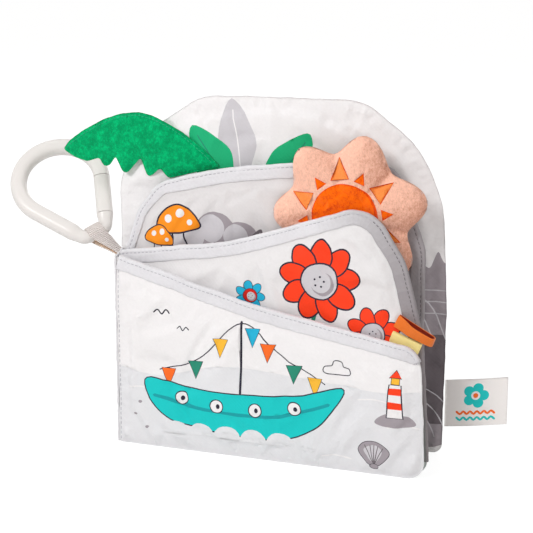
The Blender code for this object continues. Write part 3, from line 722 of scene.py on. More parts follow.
def cushion(name, outline, margins, pictures, ground, place, edge, crowns, rise, pucker, wave, spacing, seed,
            creases=None, line=None, filling=None, plump=False):
    """A closed cushion with a picture on each side, in one mesh with its inks as a colour attribute."""
    sheets = [cloth_sheet(outline, picture, ground, spacing, filling is not None) for picture in pictures]
    rims = [rim_loop(points, triangles) for points, triangles, _ in sheets]
    coords, faces, inks = [], [], []
    for side, (points, triangles, sheet_inks) in enumerate(sheets):
        height = cushion_height(points, outline, margins, edge, crowns[side], rise, pucker, wave, seed + side * 31,
                                creases and creases[side], line, filling and filling[side], plump)
        height[rims[side]] = edge * 0.45
        hand = -1 if side == 0 else 1
        first = len(coords)
        for (x, z), h in zip(points, height):
            x, z = untrue(x, z, seed) if filling else (x, z)
            coords.append(place @ Vector((x * MM, hand * h * MM, z * MM)))
        faces += [[first + i for i in (t if side == 0 else t[::-1])] for t in triangles]
        inks += sheet_inks
    first = len(sheets[0][0])
    strip = zip_rims(rims[0], shares_along(sheets[0][0], rims[0]),
                     [first + i for i in rims[1]], shares_along(sheets[1][0], rims[1]))
    faces += [list(t[::-1]) for t in strip]
    inks += [ground] * len(strip)
    return coloured_mesh(name, coords, faces, inks)


def pillow(name, outline, picture, ground, place, **sizes_of):
    """A cushion that is sewn along its very edge, with a picture on its front at most."""
    return cushion(name, outline, [0.0] * len(outline), (picture, []), ground, place, **sizes_of)


def coloured_mesh(name, coords, faces, inks):
    made = new_mesh(name, coords, faces)
    layer = made.data.color_attributes.new("ink", "FLOAT_COLOR", "CORNER")
    table = np.array([INKS[ink] for ink in inks], np.float32)
    layer.data.foreach_set("color", np.repeat(table, [len(f) for f in faces], axis=0).ravel())
    return made


# %% [markdown]
# ## Shader groups
#
# The woven cloth, the plush pile and the ribbed tapes each show up in several materials, so each is a node
# group that is made once. A group puts out a tint that varies over the surface and a height for a Bump node.

# %% Build the shader groups
def node(tree, kind, inputs=(), **settings):
    """A new node with its settings. Each of its inputs is given a value, or linked to another node's output."""
    made = tree.nodes.new("ShaderNode" + kind)
    for label, value in settings.items():
        setattr(made, label, value)
    for key, value in inputs.items() if isinstance(inputs, dict) else enumerate(inputs):
        if isinstance(value, bpy.types.NodeSocket):
            tree.links.new(value, made.inputs[key])
        else:
            made.inputs[key].default_value = value
    return made


def maths(tree, kind, *values):
    return node(tree, "Math", values, operation=kind).outputs[0]


def noise_node(tree, vector, scale, detail=2.0, rough=0.5):
    made = node(tree, "TexNoise", {"Vector": vector, "Scale": scale, "Detail": detail, "Roughness": rough})
    return made.outputs["Fac"]


def new_group(name, **inputs):
    """An empty group: its inputs are numbers and a Vector, and it puts out a Tint and a Height."""
    group = bpy.data.node_groups.new(name, "ShaderNodeTree")
    for label, value in inputs.items():
        socket = group.interface.new_socket(label, in_out="INPUT", socket_type="NodeSocketFloat")
        socket.default_value = value
    group.interface.new_socket("Vector", in_out="INPUT", socket_type="NodeSocketVector")
    for label in ("Tint", "Height"):
        group.interface.new_socket(label, in_out="OUTPUT", socket_type="NodeSocketFloat")
    return group, group.nodes.new("NodeGroupInput").outputs


def put_out(group, tint, height):
    result = group.nodes.new("NodeGroupOutput").inputs
    group.links.new(tint, result["Tint"])
    group.links.new(height, result["Height"])
    return group


def weave_group():
    group, given = new_group("woven_cloth", Threads=1500.0, Shade=0.05)
    place = given["Vector"]
    parts = node(group, "SeparateXYZ", (place,)).outputs
    angle = maths(group, "MULTIPLY", given["Threads"], 2.0)
    warp, weft = [maths(group, "SINE", maths(group, "MULTIPLY", parts[axis], angle)) for axis in "XZ"]
    height = maths(group, "ADD", maths(group, "MULTIPLY", warp, weft), noise_node(group, place, 900.0, 3.0))
    slow, fine = noise_node(group, place, 28.0, 3.0, 0.6), noise_node(group, place, 620.0)
    both = maths(group, "ADD", maths(group, "MULTIPLY", slow, 0.7), maths(group, "MULTIPLY", fine, 0.6))
    shade = maths(group, "MULTIPLY", maths(group, "SUBTRACT", both, 0.65), given["Shade"])
    return put_out(group, maths(group, "ADD", shade, 1.0), height)


def pile_group():
    group, given = new_group("plush_pile", Tufts=420.0, Shade=0.3, Lay=1.0, Nap=0.0)
    upright, painted_shade_way = (1.0, 1.0, 0.6), (0.85, 0.0, -0.53)
    stretch = node(group, "VectorMath", (given["Vector"], upright), operation="MULTIPLY").outputs[0]
    tuft = noise_node(group, stretch, given["Tufts"], 5.0, 0.75)
    lay = noise_node(group, given["Vector"], 230.0, 3.0, 0.6)
    hair = noise_node(group, stretch, 1700.0, 3.0, 0.7)
    patches = maths(group, "MULTIPLY", maths(group, "SUBTRACT", lay, 0.5), given["Lay"])
    both = maths(group, "ADD", maths(group, "MULTIPLY", tuft, 0.9), patches)
    both = maths(group, "ADD", both, maths(group, "MULTIPLY", hair, 0.8))
    shade = maths(group, "MULTIPLY", maths(group, "SUBTRACT", both, 0.85), given["Shade"])
    # Painted shade: the tint is darkened where the surface faces right and down, away from the key lamp, and
    # lightened where it faces the other way.
    normal = node(group, "TexCoord").outputs["Normal"]
    facing = node(group, "VectorMath", (normal, painted_shade_way), operation="DOT_PRODUCT").outputs["Value"]
    painted_shade = maths(group, "MULTIPLY", facing, given["Nap"])
    lit = maths(group, "SUBTRACT", maths(group, "MAXIMUM", maths(group, "ADD", shade, 1.02), 0.8), painted_shade)
    return put_out(group, lit, maths(group, "ADD", tuft, maths(group, "MULTIPLY", hair, 0.6)))


def rib_group():
    group, given = new_group("ribbed_tape", Ribs=40.0, Shade=0.25)
    parts = node(group, "SeparateXYZ", (given["Vector"],)).outputs
    wave = maths(group, "SINE", maths(group, "MULTIPLY", parts["X"], given["Ribs"]))
    cross = maths(group, "SINE", maths(group, "MULTIPLY", parts["Y"], 90.0))
    height = maths(group, "ADD", wave, maths(group, "MULTIPLY", cross, 0.3))
    shade = maths(group, "MULTIPLY", height, given["Shade"])
    return put_out(group, maths(group, "ADD", shade, 1.0), height)


WEAVE, PILE, RIBS = weave_group(), pile_group(), rib_group()
print("shader groups:", WEAVE.name, PILE.name, RIBS.name)

# %% [markdown]
# ## Materials
#
# All the finishes are a Principled shader with a tint and a bump from one of the groups. What has several
# colours, such as the prints, tapes and threads, takes them from the mesh's ink attribute, and the others have
# one colour each. Cloth and plush also have sheen, because their fibres catch the light at grazing angles.

# %% Build the materials
def finish(name, group, given, colour=None, roughness=0.8, bump=0.3, distance=0.0001, sheen=0.0, coords="Object",
           coat=0.0, gloss=0.35, depth=0.0):
    """A material in one colour or, without one, in the mesh's inks."""
    made = bpy.data.materials.new(name)
    made.use_nodes = True
    tree = made.node_tree
    place = node(tree, "TexCoord").outputs[coords]
    texture = node(tree, "Group", {"Vector": place, **given}, node_tree=group).outputs
    paint = colour or node(tree, "Attribute", attribute_name="ink").outputs["Color"]
    if depth:
        # Light that sinks into the pile comes back stronger in colour, so the dark tufts aren't grey.
        power = maths(tree, "MULTIPLY_ADD", texture["Tint"], -depth, 1 + depth)
        deepen = node(tree, "Gamma", {"Color": paint, "Gamma": maths(tree, "MAXIMUM", power, 1.0)})
        paint = deepen.outputs["Color"]
    tinted = node(tree, "Mix", {"Factor": 1.0, "A": paint, "B": texture["Tint"]}, data_type="RGBA",
                  blend_type="MULTIPLY")
    relief = node(tree, "Bump", {"Strength": bump, "Distance": distance, "Height": texture["Height"]})
    shader = tree.nodes["Principled BSDF"]
    tree.links.new(tinted.outputs["Result"], shader.inputs["Base Color"])
    tree.links.new(relief.outputs["Normal"], shader.inputs["Normal"])
    for label, value in (("Roughness", roughness), ("Sheen Weight", sheen), ("Sheen Roughness", 0.4),
                         ("Coat Weight", coat), ("Specular IOR Level", gloss)):
        shader.inputs[label].default_value = value
    return made


PRINTED = finish("printed_cloth", WEAVE, {"Threads": 1400.0, "Shade": 0.1}, roughness=0.7, sheen=0.06)
BINDING = finish("grey_binding", WEAVE, {"Threads": 1100.0, "Shade": 0.2}, roughness=0.75, bump=0.4,
                 distance=0.00012, sheen=0.08)
THREAD = finish("sewing_thread", WEAVE, {"Threads": 4000.0}, roughness=0.6)
SPINE = finish("spine_cloth", WEAVE, {"Threads": 1400.0, "Shade": 0.14}, linear(228, 227, 230), roughness=0.75,
               sheen=0.06)
# The peach and green plush take painted shade on their sides that face away from the key lamp.
PEACH = finish("peach_plush", PILE, {"Tufts": 900.0, "Shade": 0.7, "Lay": 0.25, "Nap": 0.24}, roughness=0.95,
               bump=0.7, distance=0.0005, sheen=0.6, gloss=0.1, depth=1.8)
GREEN = finish("green_plush", PILE, {"Tufts": 760.0, "Shade": 1.7, "Nap": 0.2}, roughness=0.9, bump=1.0,
               distance=0.0009, sheen=0.08, gloss=0.06)
PLASTIC = finish("ring_plastic", PILE, {"Tufts": 60.0, "Shade": 0.02}, linear(226, 222, 219), roughness=0.34,
                 bump=0.03, distance=0.00005, coat=0.1)
WEBBING = finish("webbing", RIBS, {"Ribs": 560.0, "Shade": 0.12}, roughness=0.85, bump=0.9, distance=0.0002,
                 coords="UV")
ORANGE_TAPE = finish("orange_ribbon", RIBS, {"Ribs": 1100.0, "Shade": 0.09}, roughness=0.5, bump=0.45,
                     distance=0.00012, coords="UV", sheen=0.1)
YELLOW_TAPE = finish("yellow_ribbon", RIBS, {"Ribs": 1100.0, "Shade": 0.05}, roughness=0.5, bump=0.4,
                     distance=0.00012, coords="UV", sheen=0.1)
SATIN = finish("satin", WEAVE, {"Threads": 2400.0, "Shade": 0.05}, roughness=0.36, bump=0.15, distance=0.00005,
               sheen=0.08)
FILM = finish("crinkle_film", WEAVE, {"Threads": 500.0}, linear(214, 218, 224), roughness=0.2)
WADDING = finish("wadding", PILE, {"Tufts": 260.0, "Shade": 0.2}, linear(232, 232, 230), roughness=1.0, bump=0.8,
                 distance=0.0006)
print("materials:", len(bpy.data.materials))


def dress(piece, material, body, slot, *nodes):
    """Gives a finished piece its material and its body, and hides the CAD nodes that it stands for. The slot is not
    used.
    """
    piece.data.materials.clear()
    piece.data.materials.append(material)
    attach(piece, body)
    if nodes:
        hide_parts(*nodes)
    return piece


# %% [markdown]
# ## The pages
#
# Each page is one closed cushion that stands for its two CAD panels. The film and the wadding stay inside it
# as the CAD gives them, with their own materials.

# %% Sew the pages
BODY_OF = {"front_page": "front_page", "second_page": "second_page", "third_page": "third_page",
           "back_cover": "cover"}
GROUND_OF = {"front_page": "white", "second_page": "soft_white", "third_page": "dim_white", "back_cover": "white"}
SEAM_MARGIN, FLANGE, BAND_DEPTH, SEED_STEP = 1.2, 0.85, 7.6, 13.7
TOP_A, TOP_B = Vector(CORNERS["front_page"][3][:2]), Vector(CORNERS["front_page"][2][:2])
TOP_SLOPE = (TOP_B.y - TOP_A.y) / (TOP_B.x - TOP_A.x)
TOP_LINE = (TOP_A.y - TOP_SLOPE * TOP_A.x - BAND_DEPTH * math.hypot(1, TOP_SLOPE), TOP_SLOPE, 120)


def band_depth(name, point):
    """The depth of a page's binding, less where the third page rolls back to the spine."""
    rolled = ramp(point.x, 2, 36) if name == "third_page" else 1
    return BAND_DEPTH * (0.5 + 0.5 * rolled)


for number, (name, body) in enumerate(BODY_OF.items()):
    points, bound = OUTLINES[name]
    margins = [band_depth(name, points[i]) + 0.6 if b and bound[(i + 1) % len(bound)] else SEAM_MARGIN
               for i, b in enumerate(bound)]
    creases = blown_creases(name, points, margins, 0.030)
    filling = filling_maps([name + "_crinkle_film", name + "_wadding"], page_place(name), points)
    made = cushion(name + "_cushion", points, margins, PICTURES[name], GROUND_OF[name], page_place(name),
                   edge=FLANGE, crowns=(CROWNS[name], CROWNS[name]), rise=7.5,
                   pucker=0.75 if name == "back_cover" else 0.45, wave=0.42, spacing=1.9, seed=number * SEED_STEP,
                   creases=creases, line=TOP_LINE if name == "front_page" else None, filling=filling)
    dress(made, PRINTED, body, "printed_cloth", name + "_front_panel", name + "_back_panel")
    for part, material in (("_crinkle_film", FILM), ("_wadding", WADDING)):
        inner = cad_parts[name + part]
        inner.data.materials.clear()
        inner.data.materials.append(material)
    print(name, "has", len(made.data.polygons), "faces")

# %% [markdown]
# ## Bindings and stitches
#
# The binding is a tape folded over the page's edge. It is swept along the edge with a rounded section, and a
# slow wave in its depth shows the gathers. A row of small thread stitches runs near the fold on both faces.

# %% Fold the bindings over the edges
def beside(run, distance):
    made = []
    for i, point in enumerate(run):
        into = point - run[i - 1] if i else run[1] - point
        onto = run[i + 1] - point if i < len(run) - 1 else into
        side = (left_of(into.normalized()) + left_of(onto.normalized())).normalized()
        depth = distance[i] if isinstance(distance, list) else distance
        made.append(point + side * depth / side.dot(left_of(into.normalized())))
    return made


SECTION = [(7.6, -1.22), (7.3, -1.50), (6.0, -1.58), (4.0, -1.66), (3.0, -1.74), (1.95, -1.76), (1.3, -1.48),
           (0.75, -1.70), (0.15, -1.68), (-0.4, -1.45), (-0.85, -0.9), (-1.0, 0.0), (-0.85, 0.9), (-0.4, 1.45),
           (0.15, 1.68), (0.75, 1.70), (1.3, 1.48), (1.95, 1.76), (3.0, 1.74), (4.0, 1.66), (6.0, 1.58), (7.3, 1.50),
           (7.6, 1.22), (7.0, 1.10), (0.3, 1.10), (-0.3, 0.7), (-0.3, -0.7), (0.3, -1.10), (7.0, -1.10)]
OUTER_POINTS, STITCH_LINE, STITCH_STEP = 23, 1.3, 2.6
STITCH_FACES = tube_faces(4, 4) + [(0, 1, 2, 3), (12, 13, 14, 15)]
STITCH_RINGS = ((-0.5, 0.10, -0.10), (-0.3, 0.2, 0.08), (0.3, 0.2, 0.08), (0.5, 0.10, -0.10))


def bound_run(name):
    """The bound edge, and how deep the binding is at each of its points."""
    points, bound = OUTLINES[name]
    first = bound.index(1)
    run = [p for p, b in zip(points, bound) if b]
    depths = [band_depth(name, p) for p in run]
    if name == "front_page":
        for k in range(1, 12):
            point, way = points[first - k], points[first - k + 1] - points[first - k - 1]
            side = left_of(way.normalized())
            over = point.y - (TOP_LINE[0] + TOP_LINE[1] * point.x)
            depth = over / max(TOP_LINE[1] * side.x - side.y, 1e-6)
            if over < 0.9:
                break
            run.insert(0, point)
            depths.insert(0, min(depth, BAND_DEPTH * 1.25))
    return run, depths


# Painted shade on the binding: its grey is darkened towards each page's outer corner, where the tape turns away from
# the light.
BAND_PAINTED_SHADE = {"front_page": (165, 25, 0.25), "second_page": (122, 66, 1), "third_page": (120, 14, 0.85)}


def band_share(name, x):
    """Painted shade on the tape, darker towards the outer corner of each page: from where, over what length, and how
    much.
    """
    start, reach, most = BAND_PAINTED_SHADE[name]
    return most * ramp(x, start, reach)


def band_ink(name, x):
    return f"band_{round(BAND_STEPS * band_share(name, x))}"


def make_binding(name, seed):
    (run, depths), place = bound_run(name), page_place(name)
    lines = [beside(run, [into if into < 2.5 else 2.5 + (into - 2.5) * max(d - 2.5, 0.1) / (BAND_DEPTH - 2.5)
                          for d in depths]) for into, _ in SECTION]
    coords, count, t = [], len(SECTION), 0.0
    for i in range(len(run)):
        t += (run[i] - run[i - 1]).length if i else 0
        for j, (line, (into, across)) in enumerate(zip(lines, SECTION)):
            wave = noise.noise((t * 0.22, j * 0.16, seed)) * 0.14 + noise.noise((t * 0.55, j * 0.2, seed + 4)) * 0.08
            gather = 0.07 * math.cos(math.tau * t / STITCH_STEP) * math.exp(-abs(into - STITCH_LINE) / 1.5)
            lift = 1 + max(wave * 1.9, -0.05) + gather if j < OUTER_POINTS else 1
            x, z = untrue(line[i].x, line[i].y, seed)
            coords.append(place @ Vector((x * MM, across * lift * MM, z * MM)))
    faces = tube_faces(len(run), count)
    inks = [band_ink(name, p.x) for p in run[:-1] for _ in range(count)]
    faces += [tuple(range(count))[::-1], tuple(range((len(run) - 1) * count, len(run) * count))]
    inks += [band_ink(name, p.x) for p in (run[0], run[-1])]
    return coloured_mesh(name + "_binding", coords, faces, inks)


def stitch_row(name, line, spacing, length, height, place, seed, ink_at, hands=(-1, 1), size=1.0):
    """A row of little thread stitches along a line on the cloth, inked by where they are."""
    coords, faces, inks, run = [], [], [], 0.0
    for i in range(len(line) - 1):
        piece = (line[i + 1] - line[i]).length
        while run < piece:
            at = line[i].lerp(line[i + 1], run / piece)
            way = (line[i + 1] - line[i]).normalized()
            side = left_of(way)
            for hand in hands:
                first = len(coords)
                for share, wide, lift in STITCH_RINGS:
                    middle = at + way * share * length
                    for a, b in ((-1, 0), (0, 1), (1, 0), (0, -1)):
                        reach = a * wide * size
                        x, z = untrue(middle.x + side.x * reach, middle.y + side.y * reach, seed)
                        top = height + lift * size + b * 0.14 * size
                        coords.append(place @ Vector((x * MM, hand * top * MM, z * MM)))
                faces += [tuple(first + i for i in face) for face in STITCH_FACES]
                inks += [ink_at(at.x)] * len(STITCH_FACES)
            run += spacing
        run -= piece
    made = coloured_mesh(name, coords, faces, inks)
    return mended(made, sharp=60)


for number, name in enumerate(("front_page", "second_page", "third_page")):
    seed = number * SEED_STEP
    binding = mended(make_binding(name, seed))
    dress(binding, BINDING, BODY_OF[name], "grey_binding", name + "_hem")
    run, _ = bound_run(name)
    # Where the binding's painted shade is more than half, its stitches take a dark thread ink, which is painted
    # shade too.
    stitches = stitch_row(name + "_stitches", beside(run, STITCH_LINE), STITCH_STEP, 1.8, 1.56, page_place(name),
                          seed, lambda x: "painted_shade_thread" if band_share(name, x) > 0.5 else "thread")
    dress(stitches, THREAD, BODY_OF[name], "grey_binding")
    spine_line = [Vector((1.4, z)) for z in range(3, 113, 5)]
    seam = stitch_row(name + "_spine_stitches", spine_line, 3.0, 2.0, 1.0, page_place(name), seed,
                      lambda x: "thread")
    dress(seam, THREAD, BODY_OF[name], "grey_binding")
    print(name, "binding", len(binding.data.polygons), "faces, stitches", len(stitches.data.polygons) // 28)

# %% [markdown]
# ## The spine
#
# Between two folds the spine is a strip of the same cloth, a little bowed and gathered by its seams. Each
# strip is a thin closed shell, so that every page keeps its own strip when the book opens.

# %% Sew the spine strips
SPINE_LEAN = math.radians(8.5)


def spine_strip(name, body, seed):
    low, high = (Vector(c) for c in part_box(name))
    start, end = Vector((high.x - 0.0016, low.y + 0.0002, 0)), Vector((low.x, high.y - 0.0002, 0))
    inwards = Vector((math.cos(SPINE_LEAN), math.sin(SPINE_LEAN), 0))
    across, upward, coords = 10, 60, []
    for face in (0, 1):
        for j in range(upward + 1):
            for i in range(across + 1):
                share, z = i / across, low.z + (high.z - low.z) * j / upward
                pucker = noise.noise((z * 260, share * 1.5, seed)) * 0.0004
                pucker += noise.noise((z * 700, share, seed)) * 0.0002
                depth = (0.00035 + pucker - 0.0002 * math.sin(math.pi * share)) if face == 0 else 0.0014
                coords.append(start.lerp(end, share) + inwards * depth + Vector((0, 0, z)))
    row, sheet, faces = across + 1, (across + 1) * (upward + 1), []
    for a in (j * row + i for j in range(upward) for i in range(across)):
        faces += [(a, a + 1, a + row + 1, a + row), (sheet + a, sheet + a + row, sheet + a + row + 1, sheet + a + 1)]
    rim = [i for i in range(across)] + [j * row + across for j in range(upward)]
    rim += [upward * row + i for i in range(across, 0, -1)] + [j * row for j in range(upward, 0, -1)]
    faces += [(a, b, sheet + b, sheet + a) for a, b in pairs(rim)]
    return dress(mended(new_mesh(name + "_cloth", coords, faces), 40), SPINE, body, "spine_cloth", name)


for name, body, seed in (("spine_front_strip", "second_page", 1.0), ("spine_middle_strip", "third_page", 2.0),
                         ("spine_rear_strip", "cover", 3.0)):
    strip = spine_strip(name, body, seed)
    print(strip.name, sizes(strip))

# %% [markdown]
# ## The plush sun
#
# The sun is a stuffed star with seven soft points, sewn to the third page. It is cut like a page, and then the
# cloth solver blows it up, which pulls the cloth in at the notches and leaves the little creases there. Its
# pile is a fine roughness of the mesh itself. A plain sun disc with rays is printed on its front. The wadding
# inside is a smaller copy of the same shape, so that it follows the creases and never comes through them.

# %% Stuff the sun
def star_outline(radius, tips, reaches, valley, steps):
    made = []
    for i, tip in enumerate(tips):
        step = (tips[(i + 1) % len(tips)] - tip) % 360
        for k in range(steps):
            share = k / steps
            swell = (1 + math.cos(math.tau * share)) / 2
            reach = reaches[i] + (reaches[(i + 1) % len(tips)] - reaches[i]) * share
            r = radius * (valley + (reach - valley) * swell ** 0.9)
            a = math.radians(tip + step * share)
            made.append(Vector((r * math.cos(a), r * math.sin(a))))
    return made


def sun_picture():
    made = []
    for k in range(12):
        a = math.tau * (k + 0.25) / 12
        tip, half = (33.5, 0.22) if k % 2 else (27.5, 0.12)
        base = 22.5 if k % 2 else 22.0
        ray = [(base * math.cos(a - half), base * math.sin(a - half)), (tip * math.cos(a), tip * math.sin(a)),
               (base * math.cos(a + half), base * math.sin(a + half))]
        made += [("sun_deep", grown(ray, 0.7)), ("sun_ray" if k % 2 else "sun_orange", ray)]
    return made + [("sun_deep", disc(0, 0, 19.4, count=52)), ("sun_orange", disc(-0.6, 0.8, 18.0, count=48))]


def roughen(piece, amount, scale):
    """A plush surface: every point is pushed along its normal by fine noise."""
    mesh = piece.data
    shifts = [v.normal * (noise.noise(v.co * scale) + 0.6 * noise.noise(v.co * scale * 2.3)) * amount
              for v in mesh.vertices]
    for v, shift in zip(mesh.vertices, shifts):
        v.co += shift
    mesh.update()


def blow_up(piece, place, pressure, frames, front, back, most):
    """Blows a sewn cushion up with the cloth solver, and fits it into the depth that it has."""
    blown, _ = inflated(piece, frames, quality=6, mass=0.15, bending=0.02, stiffness=20, pressure=pressure)
    for v, new in zip(piece.data.vertices, blown):
        move = new - v.co
        v.co = v.co + move * min(1, most / max(move.length, 1e-9))
    local = [place.inverted() @ v.co for v in piece.data.vertices]
    low, high = min(p.y for p in local), max(p.y for p in local)
    for v, p in zip(piece.data.vertices, local):
        p.y *= front / -low if p.y < 0 else back / high
        v.co = place @ p
    piece.data.update()


SUN_TIPS = [-134, -88, -40, 13, 77, 128, 181]
SUN_REACH = [1.0, 1.0, 1.0, 1.0, 1.0, 1.0, 0.93]
SUN_FRONT, SUN_BACK = 7.4, 3.5
SUN_HEART, NOTCH_REACH, SUN_CREASES = 12, 36, ((0.62, 2.3, 10), (0.36, 7.0, 14))  # how deep, wide and fading
SUN_SEAT = page_place("third_page", False) @ Matrix.Translation((141.2 * MM, -(3.25 + 0.3 + 3.5) * MM, 143.8 * MM))
star = star_outline(46.6, SUN_TIPS, SUN_REACH, 0.765, 18)
sun = pillow("sun_plush", star, sun_picture(), "peach", SUN_SEAT, edge=0.5, crowns=(7.0, 3.4), rise=21.0,
             pucker=0.35, wave=0.3, spacing=1.05, seed=71.0, plump=True)
blow_up(sun, SUN_SEAT, 2.5, 14, SUN_FRONT * MM, SUN_BACK * MM, 0.006)
for v in sun.data.vertices:
    p = SUN_SEAT.inverted() @ v.co * 1000
    r, a = math.hypot(p.x, p.z), math.degrees(math.atan2(p.z, p.x))
    for tip, after in pairs(SUN_TIPS):
        notch = tip + ((after - tip) % 360) / 2
        off = math.radians((a - notch + 180) % 360 - 180) * r
        if r > SUN_HEART:
            for cut, width, fade in SUN_CREASES:
                p.y *= 1 - cut * math.exp(-(off / width) ** 2) * math.exp(-max(NOTCH_REACH - r, 0) / fade)
    # The page's edge runs behind the sun. Above it the sun has room and comes further forward.
    page_top = 6 + 0.34 * p.x if p.x < 8 else 8.7 - 1.41 * (p.x - 8)
    free = ramp(p.z, page_top, 10)
    if p.y < 0:
        p.y = max(p.y * (1 + 0.28 * free), -(SUN_FRONT + 0.0787 * p.x + 5 * free))
    v.co = SUN_SEAT @ (p * MM)
filling = new_object("sun_filling", sun.data.copy())
filling.data.transform(SUN_SEAT @ Matrix.Diagonal((0.92, 0.78, 0.92, 1)) @ SUN_SEAT.inverted())
dress(filling, WADDING, "third_page", "wadding", "sun_stuffing")
roughen(sun, 0.00050, 930)
dress(sun, PEACH, "third_page", "peach_plush", "sun_front_plush", "sun_back_plush")
print("sun", len(sun.data.polygons), "faces,", sizes(sun), "mm")

# %% [markdown]
# ## The plush leaf
#
# The leaf is two layers of short plush sewn along a line just inside its edge. It stands between the third
# page and the back cover, and its lower edge has pointed lobes.

# %% Cut the leaf
LEAF_SHARES = ((0.674, 0.040), (1, 0.249), (0.967, 0.331), (0.924, 0.443), (0.838, 0.600), (0.763, 0.731),
               (0.665, 0.856), (0.578, 0.955), (0.491, 1), (0.380, 0.970), (0.269, 0.881), (0.134, 0.704),
               (0.041, 0.542), (0, 0.410), (0.072, 0.301), (0.155, 0.239), (0.233, 0.306), (0.262, 0.177),
               (0.295, 0.182), (0.339, 0.333), (0.384, 0.100), (0.412, 0.090), (0.499, 0.328),
               (0.540, 0.065), (0.562, 0.055), (0.623, 0.187))
LEAF_SEAT = Matrix.Translation((-35.5 * MM, -0.01 * MM, 156.2 * MM))


def leaf_outline():
    corners = [Vector((x * 97.0, z * 40.2)) for x, z in LEAF_SHARES]
    made = []
    for a, b in pairs(corners):
        count = max(1, round((b - a).length / 1.3))
        made += [a.lerp(b, k / count) for k in range(count)]
    for _ in range(2):
        made = [(made[i - 1] + p * 2 + made[(i + 1) % len(made)]) / 4 for i, p in enumerate(made)]
    return made


leaf_edge = leaf_outline()
leaf = pillow("leaf_plush", leaf_edge, [], "green_pile", LEAF_SEAT, edge=0.5, crowns=(1.45, 1.2), rise=2.6,
              pucker=0.2, wave=0.5, spacing=1.05, seed=93.0)
roughen(leaf, 0.00028, 900)
dress(leaf, GREEN, "leaf", "green_plush", "leaf_front_plush", "leaf_back_plush")
top = max(range(len(leaf_edge)), key=lambda i: leaf_edge[i].x)
order = [leaf_edge[(top + k) % len(leaf_edge)] for k in range(len(leaf_edge))]
upper = [p for p in order[4:order.index(min(order, key=lambda p: p.x))] if p.y > 14]
leaf_seam = stitch_row("leaf_stitches", beside(upper, 1.7), 2.2, 1.6, 1.22, LEAF_SEAT, 93.0,
                       lambda x: "leaf_thread", size=0.9)
dress(leaf_seam, THREAD, "leaf", "green_plush")
print("leaf", len(leaf.data.polygons), "faces")


def leaf_root():
    low, high = Vector((65.4, 1.6)), Vector((97.0, 10.0))
    down = Vector(((high - low).y, -(high - low).x)).normalized()
    return [low + down * 14, high + down * 14, high + down * 1.45, low + down * 1.45]


corners, edge = leaf_root(), []
for a, b in pairs(corners):
    edge += [a.lerp(b, k / 12) for k in range(12)]
root = pillow("leaf_seam", edge, [], "green_pile", LEAF_SEAT, edge=0.5, crowns=(1.1, 1.1), rise=3.0, pucker=0.1,
              wave=0.1, spacing=1.5, seed=95.0)
dress(root, GREEN, "cover", "green_plush", "leaf_root")
print("leaf seam", len(root.data.polygons), "faces")

# %% [markdown]
# ## Ribbons, webbing and label
#
# A ribbon is a flat band that follows a smooth path, with a width direction at each point. Its UV map runs
# along the path and across it, and the ribs of the weave are drawn on that.

# %% Sweep a band along a path
def band(name, path, widths, thickness, inks, steps=6, across=6, inside_hand=1):
    """A closed flat band. Path points and width vectors are smoothed together."""
    smooth_path = smooth([tuple(p) for p in path], False, steps)
    smooth_width = smooth([tuple(w) for w in widths], False, steps)
    coords, uvs, face_inks, run = [], [], [], 0.0
    ring_size = 2 * (across + 1)
    for i, (point, wide) in enumerate(zip(smooth_path, smooth_width)):
        way = smooth_path[min(i + 1, len(smooth_path) - 1)] - smooth_path[max(i - 1, 0)]
        normal = way.cross(wide).normalized()
        run += (point - smooth_path[i - 1]).length if i else 0
        shares = [k / across - 0.5 for k in range(across + 1)]
        for hand, row in ((1, shares), (-1, shares[::-1])):
            for share in row:
                coords.append(point + wide * share + normal * hand * thickness / 2 * (1 - abs(share) ** 4 * 6))
                uvs.append((run * 10, share + 0.5))
    faces = tube_faces(len(smooth_path), ring_size)
    for _ in range(len(smooth_path) - 1):
        for j in range(ring_size):
            on_edge, facing_in = j in (across, ring_size - 1), (j > across) == (inside_hand < 0)
            face_inks.append(inks[1] if facing_in and not on_edge else inks[0])
    last = (len(smooth_path) - 1) * ring_size
    faces += [tuple(range(ring_size)), tuple(range(last, last + ring_size))]
    made = coloured_mesh(name, coords, faces, face_inks + [inks[0]] * 2)
    layer = made.data.uv_layers.new(name="UVMap")
    for loop in made.data.loops:
        layer.data[loop.index].uv = uvs[loop.vertex_index]
    return mended(made, sharp=50)


# %% Loop the ribbon tabs
def tab_path(x, z, slope, length, width, opening, shares, place, tilt):
    along = Vector((math.cos(slope), 0, math.sin(slope)))
    up = Vector((-math.sin(slope), 0, math.cos(slope))) * math.copysign(width, math.cos(slope))
    start = Vector((x, -2.45, z))
    points = [place @ ((start + along * (length * s) - Vector((0, opening * out, 0))) * MM) for s, out in shares]
    lean = [tilt * min(1, s * 1.6) for s, _ in shares]
    widths = [place.to_3x3() @ (up * math.cos(t) - Vector((0, width * math.sin(t), 0))) * MM for t in lean]
    return points, widths


SECOND_FOLD, TAPE = page_place("second_page", False), 0.0007
ORANGE = ((0, 0), (0.4, 0), (0.86, 0.03), (0.97, 0.2), (1, 0.5), (0.97, 0.8), (0.86, 0.97), (0.45, 1), (0.2, 0.55),
          (0, 0.25))
YELLOW = ((0, 0), (0.35, 0.25), (0.8, 0.4), (0.96, 0.5), (1, 0.7), (0.95, 0.9), (0.8, 1), (0.35, 0.88), (0, 0.5))
